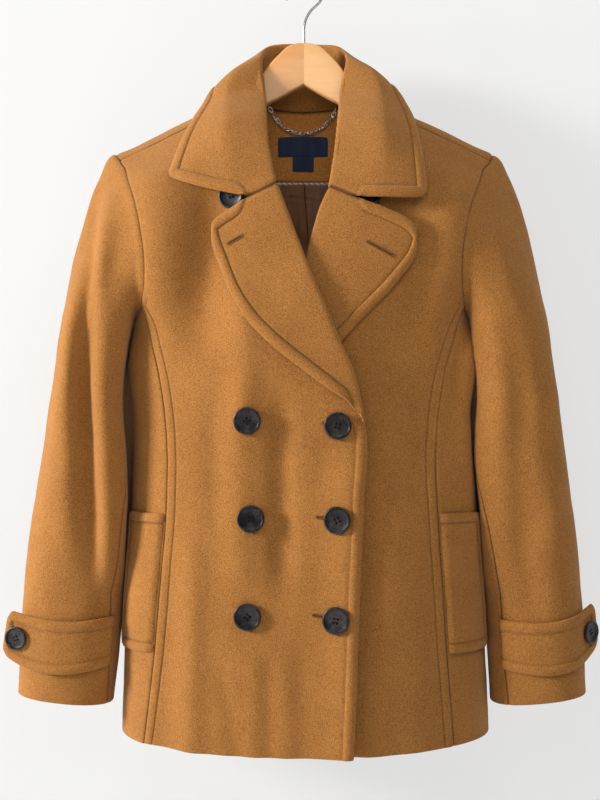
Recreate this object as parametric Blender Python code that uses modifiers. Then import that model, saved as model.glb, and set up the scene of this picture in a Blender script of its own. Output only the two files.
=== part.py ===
# Double-breasted pea coat hanging on a wooden hanger.
# Lengths in the tables are millimetres in the coat's own frame: +X to the wearer's left,
# -Y to the front, +Z up, origin at the inner top of the hanger's hook.
# "right" and "left" in names are the wearer's.

import bpy
import numpy as np
from mathutils import Vector

MM = 0.001

cloth = 2.2            # thickness of one layer of wool melton
folded_cloth = 3.0     # collar, lapels, flaps and tabs, which are two layers turned edge to edge
lining_cloth = 1.0
seam_gap = 0.4         # between two pieces that meet at a seam

hem_z = -797.0
hem_rise = 8.0         # rise of the hem at the sides
underarm_z = -353.0    # level where armhole and princess seams meet
ridge_x, ridge_z0, ridge_slope = 75.0, -132.0, 0.477   # neck end of the shoulder line and its fall
shoulder_fall = 130.0  # height over which the depth grows from nothing at the shoulder line
seam_forward = 10.5    # shoulder seam's drop in front of the shoulder line
ring_power = 2.5       # superellipse power of the body's level sections
turn_radius = 5.0      # outer radius of the lapels' and the collar's front fold

# level sections of the body: height, half width, centre x, depth in front, depth behind
BODY = np.array([
    (-90, 234, 0, 52, 46),
    (-190, 216, 0, 61, 53),
    (-236, 206, 0, 67, 56),
    (-290, 193, 0, 74, 58),
    (-353, 175, -2.5, 80, 58),
    (-392, 172.5, -3, 80, 57),
    (-430, 174, -3, 80, 56),
    (-480, 174.5, -2.5, 79, 55),
    (-560, 179, 0, 81, 57),
    (-650, 185.5, 0.5, 84, 60),
    (-797, 191, 1.5, 87, 63),
], float)

# seams on the front, x at each height: the armhole down to the underarm level, then the princess seam
ARMHOLE = np.array([   # height, wearer's right, wearer's left
    (-200, -192, 194), (-214, -184.6, 184.8), (-228, -178.2, 178), (-243, -172.4, 171.5),
    (-260, -167.7, 166), (-278, -164.1, 162), (-296, -160.8, 159.2), (-315, -159.6, 158.4),
    (-338, -161, 160.4), (-353, -165, 163.5),
], float)
PRINCESS = np.array([  # height, wearer's right, wearer's left
    (-353, -165, 163.5), (-372, -158, 155.5), (-393, -153, 148.5), (-413, -147.7, 142.3),
    (-448, -141.2, 135.8), (-498, -136.9, 131.5), (-560, -138, 133), (-637, -144, 138),
    (-700, -149.5, 142), (-797, -161.5, 149.5),
], float)
# back armhole and side back seam: height, distance from the middle
BACK_SEAM = np.array([
    (-190, 197.5), (-215, 188), (-245, 178), (-280, 171), (-315, 168), (-353, 171),
    (-400, 160), (-480, 150), (-600, 157), (-797, 166),
], float)
# inner edge of the fronts: neck seam, roll line, then the overlapping edge down to the hem
FRONT_EDGE = np.array([  # height, wearer's right (on top), wearer's left (under)
    (-143, -78, 78), (-175, -68, 67), (-208, -51, 49), (-236, -33, 29), (-259, -24, 19.5),
    (-285, -14, 12), (-312, -4.2, 5), (-354, 13.5, -13), (-382, 25.3, -23), (-413, 40, -39),
    (-448, 52.9, -51), (-477, 61, -59), (-545, 59, -57), (-640, 55, -53), (-730, 51.5, -50),
    (-797, 48.5, -48),
], float)
neck_end_z, break_z = -236.0, -477.0   # gorge end and lower end of the roll lines

# outer edges of the lapels, from the top corner to the break: x and height
LAPEL_RIGHT = np.array([
    (-93, -279), (-91, -296), (-84, -315), (-70.5, -348), (-52.8, -374), (-29, -397),
    (0.7, -420), (30.4, -442), (45.3, -452), (56, -465),
], float)
LAPEL_LEFT = np.array([
    (114, -288), (110, -306), (92, -331), (75, -350), (60, -365), (45, -381), (33, -395),
    (12, -415), (-14, -436), (-38, -452), (-53, -464),
], float)
# top edges of the lapels, from the notch to the top corner: x and height
LAPEL_TOP = {
    -1: np.array([(-54, -246), (-78, -261), (-90, -270), (-93, -279)], float),
    1: np.array([(49, -246), (80, -257), (106, -270), (114, -288)], float),
}
# height of the lapels over the front: at the notch end, at mid length and at the lower end
LEG_LIFT = np.array([(8.6, 9.2, 8.4, 6.8), (7.2, 6.6, 6.0, 5.2), (5.2, 5.2, 5.0, 4.8)], float)

# collar from the middle of the back: neck x and drop from the shoulder line, then
# roll line x y z, crown x y z and edge x y z
COLLAR_BACK = np.array([
    (0, 21, 0, 25, -66.5, 0, 44, -77, 0, 66, -148),
    (14, 20.3, 12, 24.5, -67, 15, 43.5, -77.5, 22, 65, -147),
    (28, 17.6, 25, 22, -68, 33, 39, -79, 48, 58, -139),
    (52, 10, 38, 14, -73, 54, 24, -86, 76, 36, -123),
    (71, -4, 43.5, -6, -93, 68, -10, -100, 97, 2, -125),
], float)
# collar in front of the shoulder: neck x z, roll x z, crown x z lift, edge x z lift
COLLAR_FRONT = {
    -1: np.array([
        (-73, -160, -40, -126, -75, -131, 24, -107, -140, 12),
        (-64, -182, -38, -160, -75, -163, 19, -117, -160, 10),
        (-51, -208, -36.5, -192, -76, -194, 15, -128, -188, 10),
    ], float),
    1: np.array([
        (73, -160, 37, -126, 73, -132, 24, 108, -141, 12),
        (64, -182, 34, -160, 74, -167, 19, 116, -166, 10),
        (50, -208, 31.5, -192, 74, -202, 15, 121, -204, 10),
    ], float),
}
# the collar's front end: notch x z, middle x z and point x z
COLLAR_END = {
    -1: np.array([(-54, -245.5), (-98, -239), (-138, -223)], float),
    1: np.array([(49, -245.5), (90, -248.5), (124, -245.5)], float),
}
END_LIFT = (8.8, 13.0, 10.0)

# large soft folds of the body: upper x z, lower x z, width, height (a trough is negative)
FOLDS = np.array([
    (-120, -300, -108, -470, 16, -5.0),
    (-80, -330, -72, -470, 18, 3.5),
    (-32, -440, -22, -640, 17, -4.5),
    (8, -470, 4, -650, 18, 3.0),
    (-118, -600, -126, -797, 14, 4.5),
    (-96, -560, -92, -797, 16, -3.0),
    (-48, -680, -60, -797, 15, -3.0),
    (-8, -690, -14, -797, 14, 3.5),
    (20, -700, 26, -797, 12, -2.5),
    (112, -300, 96, -420, 16, -3.5),
    (96, -560, 106, -797, 18, 3.0),
    (76, -600, 80, -797, 15, -2.5),
], float)
BACK_FOLDS = np.array([
    (-70, -420, -84, -797, 24, -4.0),
    (72, -430, 88, -797, 24, -4.0),
    (-34, -560, -40, -797, 20, 3.0),
    (36, -560, 44, -797, 20, 3.0),
    (-110, -250, -90, -340, 18, -3.0),
    (110, -250, 90, -340, 18, -3.0),
], float)

# sleeves: height, then for the wearer's right and left the centre x and half width, then y, half depth
SLEEVE = np.array([
    (-392, -219.2, 36.2, 215.6, 40.0, -2, 58),
    (-448, -226.8, 36.5, 222.7, 40.3, -4, 56),
    (-500, -229.0, 42.3, 224.4, 44.8, -6, 51),
    (-552, -231.7, 47.7, 230.0, 46.8, -9, 47),
    (-614, -236.4, 50.6, 235.0, 49.8, -12, 43),
    (-668, -239.8, 51.3, 238.4, 50.0, -14, 40),
    (-758, -246.0, 48.2, 242.1, 48.9, -17, 37),
], float)
# sleeve folds: angle round the arm from the outer side through the front, half angle, top and
# bottom height, height of the fold for each side
SLEEVE_FOLDS = np.array([
    (96, 16, -300, -660, -4.0, -1.5),
    (122, 14, -320, -620, 3.0, 2.0),
    (62, 20, -330, -560, 2.0, -2.5),
    (35, 18, -400, -640, -1.5, 2.0),
    (226, 20, -325, -640, 20.0, 15.0),
    (290, 26, -360, -620, 2.5, 2.5),
], float)
# seams of the sleeve: height, angle of the forearm seam for each side, angle of the elbow seam
SLEEVE_SEAMS = np.array([
    (-353, 165, 165, 228), (-448, 172, 170, 232), (-500, 168, 167, 235), (-549, 151, 153, 237),
    (-575, 147, 147, 238), (-610, 145.5, 141, 239), (-650, 144.5, 138, 240), (-700, 150, 139, 240),
    (-760, 159, 134, 240),
], float)
cuff_slant = 0.105     # rise of the cuff towards the outer side

# front buttons: x, height, and the front they sit on (-1 the wearer's right)
FRONT_BUTTONS = {
    "button_right_1": (-72, -243.5, -1), "button_left_1": (63, -243.5, 1),
    "button_right_2": (-56, -468, -1), "button_left_2": (32.7, -473, -1),
    "button_right_3": (-52.5, -564, -1), "button_left_3": (32.5, -565, -1),
    "button_right_4": (-55.5, -659.5, -1), "button_left_4": (31, -662, -1),
}
front_button_radius, cuff_button_radius = 13.5, 11.8
lapel_rows = 13        # level rows of a lapel along its roll line
facing_cloth, label_cloth = 1.8, 0.6
piping_radius, chain_radius = 1.1, 1.2

WOOL = (0.462, 0.212, 0.055, 1.0)
DARK = (0.02, 0.022, 0.03, 1.0)
SATIN = (0.14, 0.062, 0.022, 1.0)
NAVY = (0.008, 0.014, 0.045, 1.0)
CREAM = (0.72, 0.6, 0.52, 1.0)
BEECH = (0.78, 0.48, 0.23, 1.0)
STEEL = (0.62, 0.62, 0.62, 1.0)


# ---- numbers and surfaces -------------------------------------------------------------------

def curve(keys, values, at):
    """Smooth curve through values at increasing keys."""
    keys, values = np.asarray(keys, float), np.asarray(values, float)
    slopes = np.gradient(values, keys, axis=0)
    at = np.clip(np.asarray(at, float), keys[0], keys[-1])
    low = np.clip(np.searchsorted(keys, at, side="right") - 1, 0, len(keys) - 2)
    span = keys[low + 1] - keys[low]
    t = (at - keys[low]) / span
    if values.ndim == 2:
        span, t = span[..., None], t[..., None]
    return (
        values[low] * (2 * t**3 - 3 * t**2 + 1) + slopes[low] * span * (t**3 - 2 * t**2 + t)
        + values[low + 1] * (3 * t**2 - 2 * t**3) + slopes[low + 1] * span * (t**3 - t**2)
    )


def at_height(table, z, column):
    return curve(-table[:, 0], table[:, column], -np.asarray(z, float))


def unit(vectors):
    return vectors / np.maximum(np.linalg.norm(vectors, axis=-1, keepdims=True), 1e-9)


def ridge(x):
    """Height of the shoulder line, rounded off across the neck."""
    beyond = np.maximum(np.abs(x) - ridge_x, 0) * ridge_slope
    inside = np.clip(np.abs(x) / ridge_x, 0, 1)
    return ridge_z0 + ridge_slope * ridge_x / 2 * (1 - inside**2) - beyond


def folds(table, x, z):
    """Sum of the soft folds, each a rounded ridge along its line that fades at both ends."""
    total = 0.0
    for x0, z0, x1, z1, width, height in table:
        t = (z - z0) / (z1 - z0)
        across = x - (x0 + (x1 - x0) * np.clip(t, 0, 1))
        fade_in = 1 / (1 + np.exp(-(t - 0.12) * 22))
        fade_out = 1.0 if z1 <= hem_z else 1 / (1 + np.exp((t - 0.88) * 22))
        total = total + height * np.exp(-((across / width) ** 2)) * fade_in * fade_out
    return total


def ring_depth(x, z, column):
    level = at_height(BODY, z, [1, 2, column])
    across = np.clip(np.abs(x - level[..., 1]) / level[..., 0], 0, 1)
    fall_height = shoulder_fall
    if column == 4:  # the back is full as soon as it leaves the neck
        fall_height = shoulder_fall - 85 * (1 - np.clip(np.abs(x) / 110, 0, 1) ** 2)
    fall = np.clip((ridge(x) - z) / fall_height, 0, 1)
    return level[..., 2] * (1 - across**ring_power) ** (1 / ring_power) * (1 - (1 - fall) ** 2) ** 0.7


def overlap(x, z, beside):
    """Share of the double front, from 0 to 1, and of the lapel hidden between the two fronts."""
    double = 1 / (1 + np.exp((np.abs(x) - 88) / 7)) / (1 + np.exp((z + 208) / 8))
    roll = at_height(FRONT_EDGE, np.clip(z, break_z, -312), 2)
    hidden = 1 / (1 + np.exp((roll - beside - x) / 6))
    return double, hidden / (1 + np.exp((z + 300) / 7)) / (1 + np.exp((break_z - 14 - z) / 7))


def front(side, x, z, lift=0.0):
    """Outer surface of a front: side -1 is the wearer's right, which lies on top."""
    x, z = np.asarray(x, float), np.asarray(z, float)
    if side < 0:
        double, hidden = overlap(x, z, 17)
        layer = 1.5 * double + 3.4 * hidden
    else:
        double, hidden = overlap(x, z, 8)
        layer = -3.0 * double - 1.6 * hidden
    y = -ring_depth(x, z, 3) - folds(FOLDS, x, z) * 0.9 - layer - lift
    return np.stack(np.broadcast_arrays(x, y, z), axis=-1)


def over_shoulder(x, reach):
    """Point at a signed drop from the shoulder line: negative in front, positive behind."""
    x, reach = np.asarray(x, float), np.asarray(reach, float)
    z = ridge(x) - np.abs(reach)
    behind = ring_depth(x, z, 4) + folds(BACK_FOLDS, x, z)
    before = -ring_depth(x, z, 3)
    return np.stack(np.broadcast_arrays(x, np.where(reach < 0, before, behind), z), axis=-1)


def ring_angle(x, z):
    half, centre = at_height(BODY, z, 1), at_height(BODY, z, 2)
    return np.arccos(np.clip(np.abs(x - centre) / half, 0, 1) ** (ring_power / 2))


def side_point(side, s, z):
    """Side panel: s runs from the princess seam, 0, round to the side back seam, 1."""
    seam = at_height(PRINCESS, z, 1 if side < 0 else 2)
    first = -ring_angle(seam, z)
    last = ring_angle(side * at_height(BACK_SEAM, z, 1), z)
    angle = first + (last - first) * s
    half, centre, before, behind = np.moveaxis(at_height(BODY, z, [1, 2, 3, 4]), -1, 0)
    x = centre + side * half * np.abs(np.cos(angle)) ** (2 / ring_power)
    depth = np.where(angle < 0, -before, behind) * np.abs(np.sin(angle)) ** (2 / ring_power)
    soft = np.where(angle < 0, -folds(FOLDS, x, z) * 0.9, folds(BACK_FOLDS, x, z))
    y = depth + soft * np.minimum(1, np.abs(np.sin(angle)) * 1.6)
    return np.stack(np.broadcast_arrays(x, y, z), axis=-1)


def trimmed(grid, top=0, bottom=0, first=0, last=0):
    """The grid with its edges drawn back along the surface."""
    grid = grid.copy()
    grid[0] += unit(grid[1] - grid[0]) * top
    grid[-1] += unit(grid[-2] - grid[-1]) * bottom
    grid[:, 0] += unit(grid[:, 1] - grid[:, 0]) * first
    grid[:, -1] += unit(grid[:, -2] - grid[:, -1]) * last
    return grid


# ---- Blender objects --------------------------------------------------------------------------

def material(name, colour, roughness, metallic=0.0):
    made = bpy.data.materials.new(name)
    made.use_nodes = True
    shader = made.node_tree.nodes["Principled BSDF"]
    shader.inputs["Base Color"].default_value = colour
    shader.inputs["Roughness"].default_value = roughness
    shader.inputs["Metallic"].default_value = metallic
    made.diffuse_color = colour
    return made


def add(name, mesh, look):
    piece = bpy.data.objects.new(name, mesh)
    mesh.materials.append(material(name, *look))
    coat.objects.link(piece)
    return piece


def sheet(name, grid, thickness, look, outward, probe):
    """Cloth wall: an open grid with its shown side towards outward at one cell, thickened behind."""
    rows, columns = grid.shape[:2]
    i, j = probe
    facing = np.dot(np.cross(grid[i + 1, j] - grid[i, j], grid[i, j + 1] - grid[i, j]), outward) < 0
    faces = []
    for i in range(rows - 1):
        for j in range(columns - 1):
            a = i * columns + j
            quad = (a, a + columns, a + columns + 1, a + 1)
            faces.append((quad[0], quad[3], quad[2], quad[1]) if facing else quad)
    mesh = bpy.data.meshes.new(name)
    mesh.from_pydata((grid.reshape(-1, 3) * MM).tolist(), [], faces)
    mesh.shade_smooth()
    piece = add(name, mesh, look)
    wall = piece.modifiers.new("wall", "SOLIDIFY")
    wall.thickness = thickness * MM
    wall.offset = -1
    wall.use_even_offset = True
    wall.use_rim = True
    return piece


def wire(name, points, radius, look, sides=2):
    """Round wire or cord along a line of points."""
    line = bpy.data.curves.new(name, "CURVE")
    line.dimensions = "3D"
    line.bevel_depth = radius * MM
    line.bevel_resolution = sides
    line.use_fill_caps = True
    spline = line.splines.new("POLY")
    spline.points.add(len(points) - 1)
    for point, place in zip(spline.points, points):
        point.co = (*(np.asarray(place, float) * MM), 1)
    piece = bpy.data.objects.new(name, line)
    line.materials.append(material(name, *look))
    coat.objects.link(piece)
    return piece


# ---- body -------------------------------------------------------------------------------------

wool_look = (WOOL, 0.95)
low_heights = np.linspace(underarm_z, hem_z, 12)


def hem_curve(x, z):
    """Heights below the underarm, drawn up towards the sides so that the hem rises a little."""
    drop = np.clip((underarm_z - z) / (underarm_z - hem_z), 0, 1)
    return z + hem_rise * drop**2 * np.clip(np.abs(x) / 190, 0, 1) ** 2


def surface_normals(surface, a, b, step_a, step_b, towards):
    """Unit normals of a surface of two parameters, on the side that a vector gives."""
    along_a = surface(a + step_a, b) - surface(a - step_a, b)
    along_b = surface(a, b + step_b) - surface(a, b - step_b)
    found = unit(np.cross(along_a, along_b))
    return found * np.where(np.sum(found * towards, axis=-1, keepdims=True) < 0, -1, 1)


def front_panel(side):
    inner_z = np.concatenate([[-143, -151, -175, -208, -236, -262, -290, -320], low_heights])
    spread = np.clip((inner_z - underarm_z) / (-143 - underarm_z), 0, 1)
    outer_z = inner_z - 57 * spread
    column = 1 if side < 0 else 2
    inner_x = at_height(FRONT_EDGE, inner_z, column)
    outer_x = np.where(
        outer_z > underarm_z, at_height(ARMHOLE, outer_z, column), at_height(PRINCESS, outer_z, column)
    )
    s = np.linspace(0, 1, 15)
    x = inner_x[:, None] * (1 - s) + outer_x[:, None] * s
    z = inner_z[:, None] * (1 - s) + outer_z[:, None] * s
    z[0] = ridge(x[0]) - seam_forward
    z[1] = ridge(x[1]) - seam_forward - 8
    z = hem_curve(x, z)
    surface = lambda a, b: front(side, a, b)
    return surface(x, z), surface_normals(surface, x, z, 0.5, 0.5, (0, -1, 0.2))


def back_panel(side):
    rows = np.array([0, 0.037, 0.075, 0.12, 0.18, 0.26, 0.37, 0.51, 0.67, 0.84, 1])
    s = np.array([0, 0.07, 0.14, 0.27, 0.315, 0.36, 0.4, 0.52, 0.64, 0.76, 0.88, 1])
    seam_x = 192.0 if side < 0 else 194.0
    top_reach = np.interp(s * seam_x, [*COLLAR_BACK[:, 0], 77], [*COLLAR_BACK[:, 1], -seam_forward])
    low_reach = ridge(s * 171) - underarm_z
    reach = top_reach + (low_reach - top_reach) * rows[:, None]
    outer_x = at_height(BACK_SEAM, ridge(197.5) - np.maximum(reach[:, -1], 0), 1)
    outer_x[:3] = (seam_x, 196.5, 197.3)
    upper_x = side * outer_x[:, None] * s
    z = low_heights[1:, None] + 0 * s
    lower_x = side * at_height(BACK_SEAM, z, 1) * s
    x = np.concatenate([upper_x, lower_x])
    reach = np.concatenate([reach, ridge(lower_x) - hem_curve(lower_x, z)])
    towards = np.stack([0 * x, np.clip(reach / 20, -1, 1), 0 * x + 0.3], axis=-1)
    return over_shoulder(x, reach), surface_normals(over_shoulder, x, reach, 0.5, 1.5, towards)


def side_panel(side):
    s = np.linspace(0, 1, 8)
    top = underarm_z - 13 * np.sin(np.pi * s)
    z = np.concatenate([top[None], low_heights[1:, None] + 0 * s])
    z = hem_curve(150 + 40 * np.sin(np.pi * s), z)
    s = s + 0 * z
    surface = lambda a, b: side_point(side, a, b)
    return surface(s, z), surface_normals(surface, s, z, 0.01, 0.5, (side, 0, 0))


def panel(name, points, outward, thickness, look, **edges):
    """Cloth wall between a grid of outer points and the same grid moved in along shared normals."""
    moved = trimmed(points, **edges) - points
    outer, inner = points + moved, points + moved - outward * thickness
    rows, columns = points.shape[:2]
    count = rows * columns
    index = np.arange(count).reshape(rows, columns)
    rim = np.concatenate([index[0, :-1], index[:-1, -1], index[-1, :0:-1], index[:0:-1, 0]])
    a, b, c, d = index[:-1, :-1], index[1:, :-1], index[1:, 1:], index[:-1, 1:]
    quads = np.stack([a, b, c, d], axis=-1).reshape(-1, 4)
    behind = quads[:, [0, 3, 2, 1]] + count
    after = np.roll(rim, -1)
    edge = np.stack([rim, after, after + count, rim + count], axis=-1)
    faces = np.concatenate([quads, behind, edge])
    middle = quads[len(quads) // 2]
    corners = outer.reshape(-1, 3)[middle]
    turn = np.cross(corners[1] - corners[0], corners[2] - corners[0])
    if np.dot(turn, outward.reshape(-1, 3)[middle[0]]) < 0:
        faces = faces[:, [0, 3, 2, 1]]
    mesh = bpy.data.meshes.new(name)
    places = np.concatenate([outer.reshape(-1, 3), inner.reshape(-1, 3)]) * MM
    mesh.from_pydata(places.tolist(), [], faces.tolist())
    mesh.shade_smooth()
    mesh.set_sharp_from_angle(angle=np.radians(50))
    return add(name, mesh, look)


def body_panels():
    made = {}
    half = seam_gap / 2
    for side, name in ((-1, "right"), (1, "left")):
        made["front", side] = fore, fore_out = front_panel(side)
        made["back", side] = rear, rear_out = back_panel(side)
        made["side", side] = flank, flank_out = side_panel(side)
        # neighbours share the seams' points and normals
        fore[8:, -1], fore_out[8:, -1] = flank[:, 0], flank_out[:, 0]
        rear[10:, -1], rear_out[10:, -1] = flank[:, -1], flank_out[:, -1]
        panel("front_" + name, fore, fore_out, cloth, wool_look, top=half, first=half, last=half)
        panel("back_" + name, rear, rear_out, cloth, wool_look, top=half, first=half, last=half)
        panel("side_" + name, flank, flank_out, cloth, wool_look, top=half, first=half, last=half)
    return made


# ---- sleeves ----------------------------------------------------------------------------------

def armhole_loop(made, side):
    """Armhole from the shoulder line forward and round: points, normals and directions out of it."""
    (fore, fore_out), (rear, rear_out) = made["front", side], made["back", side]
    flank, flank_out = made["side", side]
    parts = [
        (rear[2:0:-1, -1], rear[2:0:-1, -2], rear_out[2:0:-1, -1]),
        (fore[:8, -1], fore[:8, -2], fore_out[:8, -1]),
        (flank[0, :], flank[1, :], flank_out[0, :]),
        (rear[9:2:-1, -1], rear[9:2:-1, -2], rear_out[9:2:-1, -1]),
    ]
    points, before, outward = (np.concatenate([part[i] for part in parts]) for i in range(3))
    ahead = unit(points - before)
    for _ in range(2):
        ahead = unit(ahead + 0.5 * np.roll(ahead, 1, axis=0) + 0.5 * np.roll(ahead, -1, axis=0))
    return points, outward, ahead


def sleeve_ring(side, z, angles):
    """Level ring of the sleeve: angle 0 outwards, 90 to the front, 180 towards the body."""
    column = 1 if side < 0 else 3
    centre, half, y, deep = np.moveaxis(at_height(SLEEVE, z, [column, column + 1, 5, 6]), -1, 0)
    turn = np.radians(angles)
    bulge = 0.0
    for middle, wide, top, bottom, right_height, left_height in SLEEVE_FOLDS:
        gap = (angles - middle + 180) % 360 - 180
        t = (z - top) / (bottom - top)
        fade = np.clip(1 - (2 * t - 1) ** 2, 0, 1) ** 0.7
        bulge = bulge + (right_height if side < 0 else left_height) * np.exp(-((gap / wide) ** 2)) * fade
    x = centre + side * (half + bulge) * np.sign(np.cos(turn)) * np.abs(np.cos(turn)) ** 0.92
    y = y - (deep + bulge) * np.sign(np.sin(turn)) * np.abs(np.sin(turn)) ** 0.92
    height = z + cuff_slant * side * (x - centre) * np.clip((z + 600) / -150, 0, 1)
    return np.stack([x, y, height + 0 * x], axis=-1)


front_end, back_end = 9, 16   # loop points where armhole, princess and side back seams meet


def sleeve_surface(made, side):
    """Whole sleeve as a closed grid: rows from the armhole to the cuff, columns round the arm."""
    points, outward, ahead = armhole_loop(made, side)
    step = np.linalg.norm(np.roll(points, -1, axis=0) - points, axis=1)
    along = np.concatenate([[0], np.cumsum(step)])
    turns = curve([0, along[front_end], along[back_end], along[-1]], [0, 152, 214, 360], along[:-1])
    heights = np.array([-392, -420, -448, -480, -515, -552, -590, -630, -668, -712, -753])
    starts = np.interp(turns, [0, 90, 150, 185, 215, 270, 360], [92, 70, 34, 26, 34, 70, 92])
    ends = np.interp(turns, [0, 90, 150, 185, 215, 270, 360], [200, 120, 40, 22, 40, 120, 200])
    first = sleeve_ring(side, heights[0] + 0 * turns, turns)
    fall = unit(sleeve_ring(side, heights[0] - 6 + 0 * turns, turns) - first)
    rows = []
    for t in (0, 0.03, 0.12, 0.26, 0.44, 0.62, 0.8):
        rows.append(
            points * (2 * t**3 - 3 * t**2 + 1) + ahead * starts[:, None] * (t**3 - 2 * t**2 + t)
            + first * (3 * t**2 - 2 * t**3) + fall * ends[:, None] * (t**3 - t**2)
        )
    for z in heights:
        seams = at_height(SLEEVE_SEAMS, z, [1 if side < 0 else 2, 3])
        angles = np.interp(turns, [0, 152, 214, 360], [0, seams[0], seams[1], 360])
        blend = np.clip((heights[0] - z) / 60, 0, 1)
        rows.append(sleeve_ring(side, z + 0 * turns, turns * (1 - blend) + angles * blend))
    grid = np.stack(rows)
    down = np.gradient(grid, axis=0)
    round_arm = np.roll(grid, -1, axis=1) - np.roll(grid, 1, axis=1)
    normal = unit(np.cross(down, round_arm)) * -side
    normal[0] = outward
    return grid, normal


def sleeves(made):
    half = seam_gap / 2
    under_columns = np.r_[front_end:back_end + 1]
    for side, name in ((-1, "right"), (1, "left")):
        grid, normal = sleeve_surface(made, side)
        upper_columns = np.r_[back_end:grid.shape[1], 0:front_end + 1]
        for part, columns in (("upper_sleeve_", upper_columns), ("under_sleeve_", under_columns)):
            panel(part + name, grid[:, columns], normal[:, columns], cloth, wool_look,
                  top=half, first=half, last=half)


# ---- collar and lapels ------------------------------------------------------------------------

turn_level = 1.6   # level strip of a turned piece beside the front's edge
fold_gap = 1.0     # between that strip and the front
gorge_gap = 2.5    # between collar and lapel
neck_gap = 1.3     # between collar and body
turn_start = 0.4 - folded_cloth   # a turned piece starts level with the inner side of the front


def turned(side, x, z, aside, radius, angle):
    """Point on the fold of a turned piece: it leaves the front's edge level, then turns from
    angle -90 to 90, on top of the front."""
    reach = turn_level + radius * np.cos(np.radians(angle))
    if angle <= -90:
        reach = turn_level * (angle + 91)
    lift = turn_start + radius + radius * np.sin(np.radians(angle))
    return front(side, x + aside[0] * reach, z + aside[1] * reach, lift)


def roll_side(side, z):
    """Direction across the roll line, away from the front, in x and height."""
    column = 1 if side < 0 else 2
    step = at_height(FRONT_EDGE, z - 4, column) - at_height(FRONT_EDGE, z + 4, column)
    return np.array([-side * 8.0, -side * step]) / np.hypot(8.0, step) * (1, -1 if side > 0 else 1)


def lapel(side, name, edge):
    column = 1 if side < 0 else 2
    count = lapel_rows
    roll_z = np.linspace(neck_end_z, break_z + 5, count)
    length = np.concatenate([[0], np.cumsum(np.linalg.norm(np.diff(edge, axis=0), axis=1))])
    outer = curve(length, edge, np.linspace(0, length[-1], count))
    rows = []
    for i, z in enumerate(roll_z):
        down = i / (count - 1)
        x = at_height(FRONT_EDGE, z, column) - side * fold_gap
        radius = np.interp(down, [0, 0.35, 1], [turn_radius, 3.9 if side > 0 else turn_radius, 3.9])
        lifts = [np.interp(down, [0, 0.25, 0.6], LEG_LIFT[:, k]) for k in range(4)]
        if side < 0:
            lifts = [max(lift, 7.0 - 0.5 * k - 1.6 * down) for k, lift in enumerate(lifts)]
        aside = roll_side(side, z)
        row = [turned(side, x, z, aside, radius, angle) for angle in (-91, -90, -40, 25, 90)]
        legs = LAPEL_TOP[side] if i == 0 else [
            np.array([x, z]) + (outer[i] - (x, z)) * share for share in (0.3, 0.6, 0.85, 1)
        ]
        row += [front(side, *leg, lift) for leg, lift in zip(legs, lifts)]
        rows.append(row)
    grid = trimmed(np.array(rows), top=gorge_gap / 2)
    return sheet(name, grid, folded_cloth, wool_look, (0, -1, 0), (count // 2, 6))


def collar_section(neck, up, roll, crown, edge, bulge):
    """Nine points from the neck seam over the roll line to the edge of the leaf."""
    stand = neck * 0.45 + roll * 0.55
    middle = crown * 0.5 + edge * 0.5 + bulge
    controls = np.array([neck, neck + up * 3.5, stand, roll, crown, middle, edge])
    return curve(range(7), controls, np.array([0, 1, 2, 2.75, 3.3, 4, 4.6, 5.3, 6]))


def neck_seam(side):
    """Neck seam from the middle of the back to the front at every half station: places just off
    the edge of the body, and ways off it."""
    front_reach = COLLAR_FRONT[side][:, 1] - ridge(COLLAR_FRONT[side][:, 0])
    x = np.concatenate([side * COLLAR_BACK[:, 0], COLLAR_FRONT[side][:, 0]])
    reach = np.concatenate([COLLAR_BACK[:, 1], front_reach])
    stations = np.arange(0, len(x) - 0.75, 0.5)
    x, reach = (np.interp(stations, np.arange(len(x)), values) for values in (x, reach))

    def surface(a, b):
        before = front(side, a, ridge(a) + b)
        return np.where((b < -seam_forward)[..., None], before, over_shoulder(a, b))

    points = surface(x, reach)
    towards = np.stack([0 * x, np.clip(reach / 15, -1, 1), 0 * x + 0.3], axis=-1)
    outs = surface_normals(surface, x, reach, 0.5, 1.0, towards)
    off = unit(np.cross(outs, np.gradient(points, axis=0)))
    off = off * np.where(off[:, 2:] < 0, -1, 1)
    return points - outs * cloth + off * neck_gap, unit(off + (0, 0, 0.2))


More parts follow.
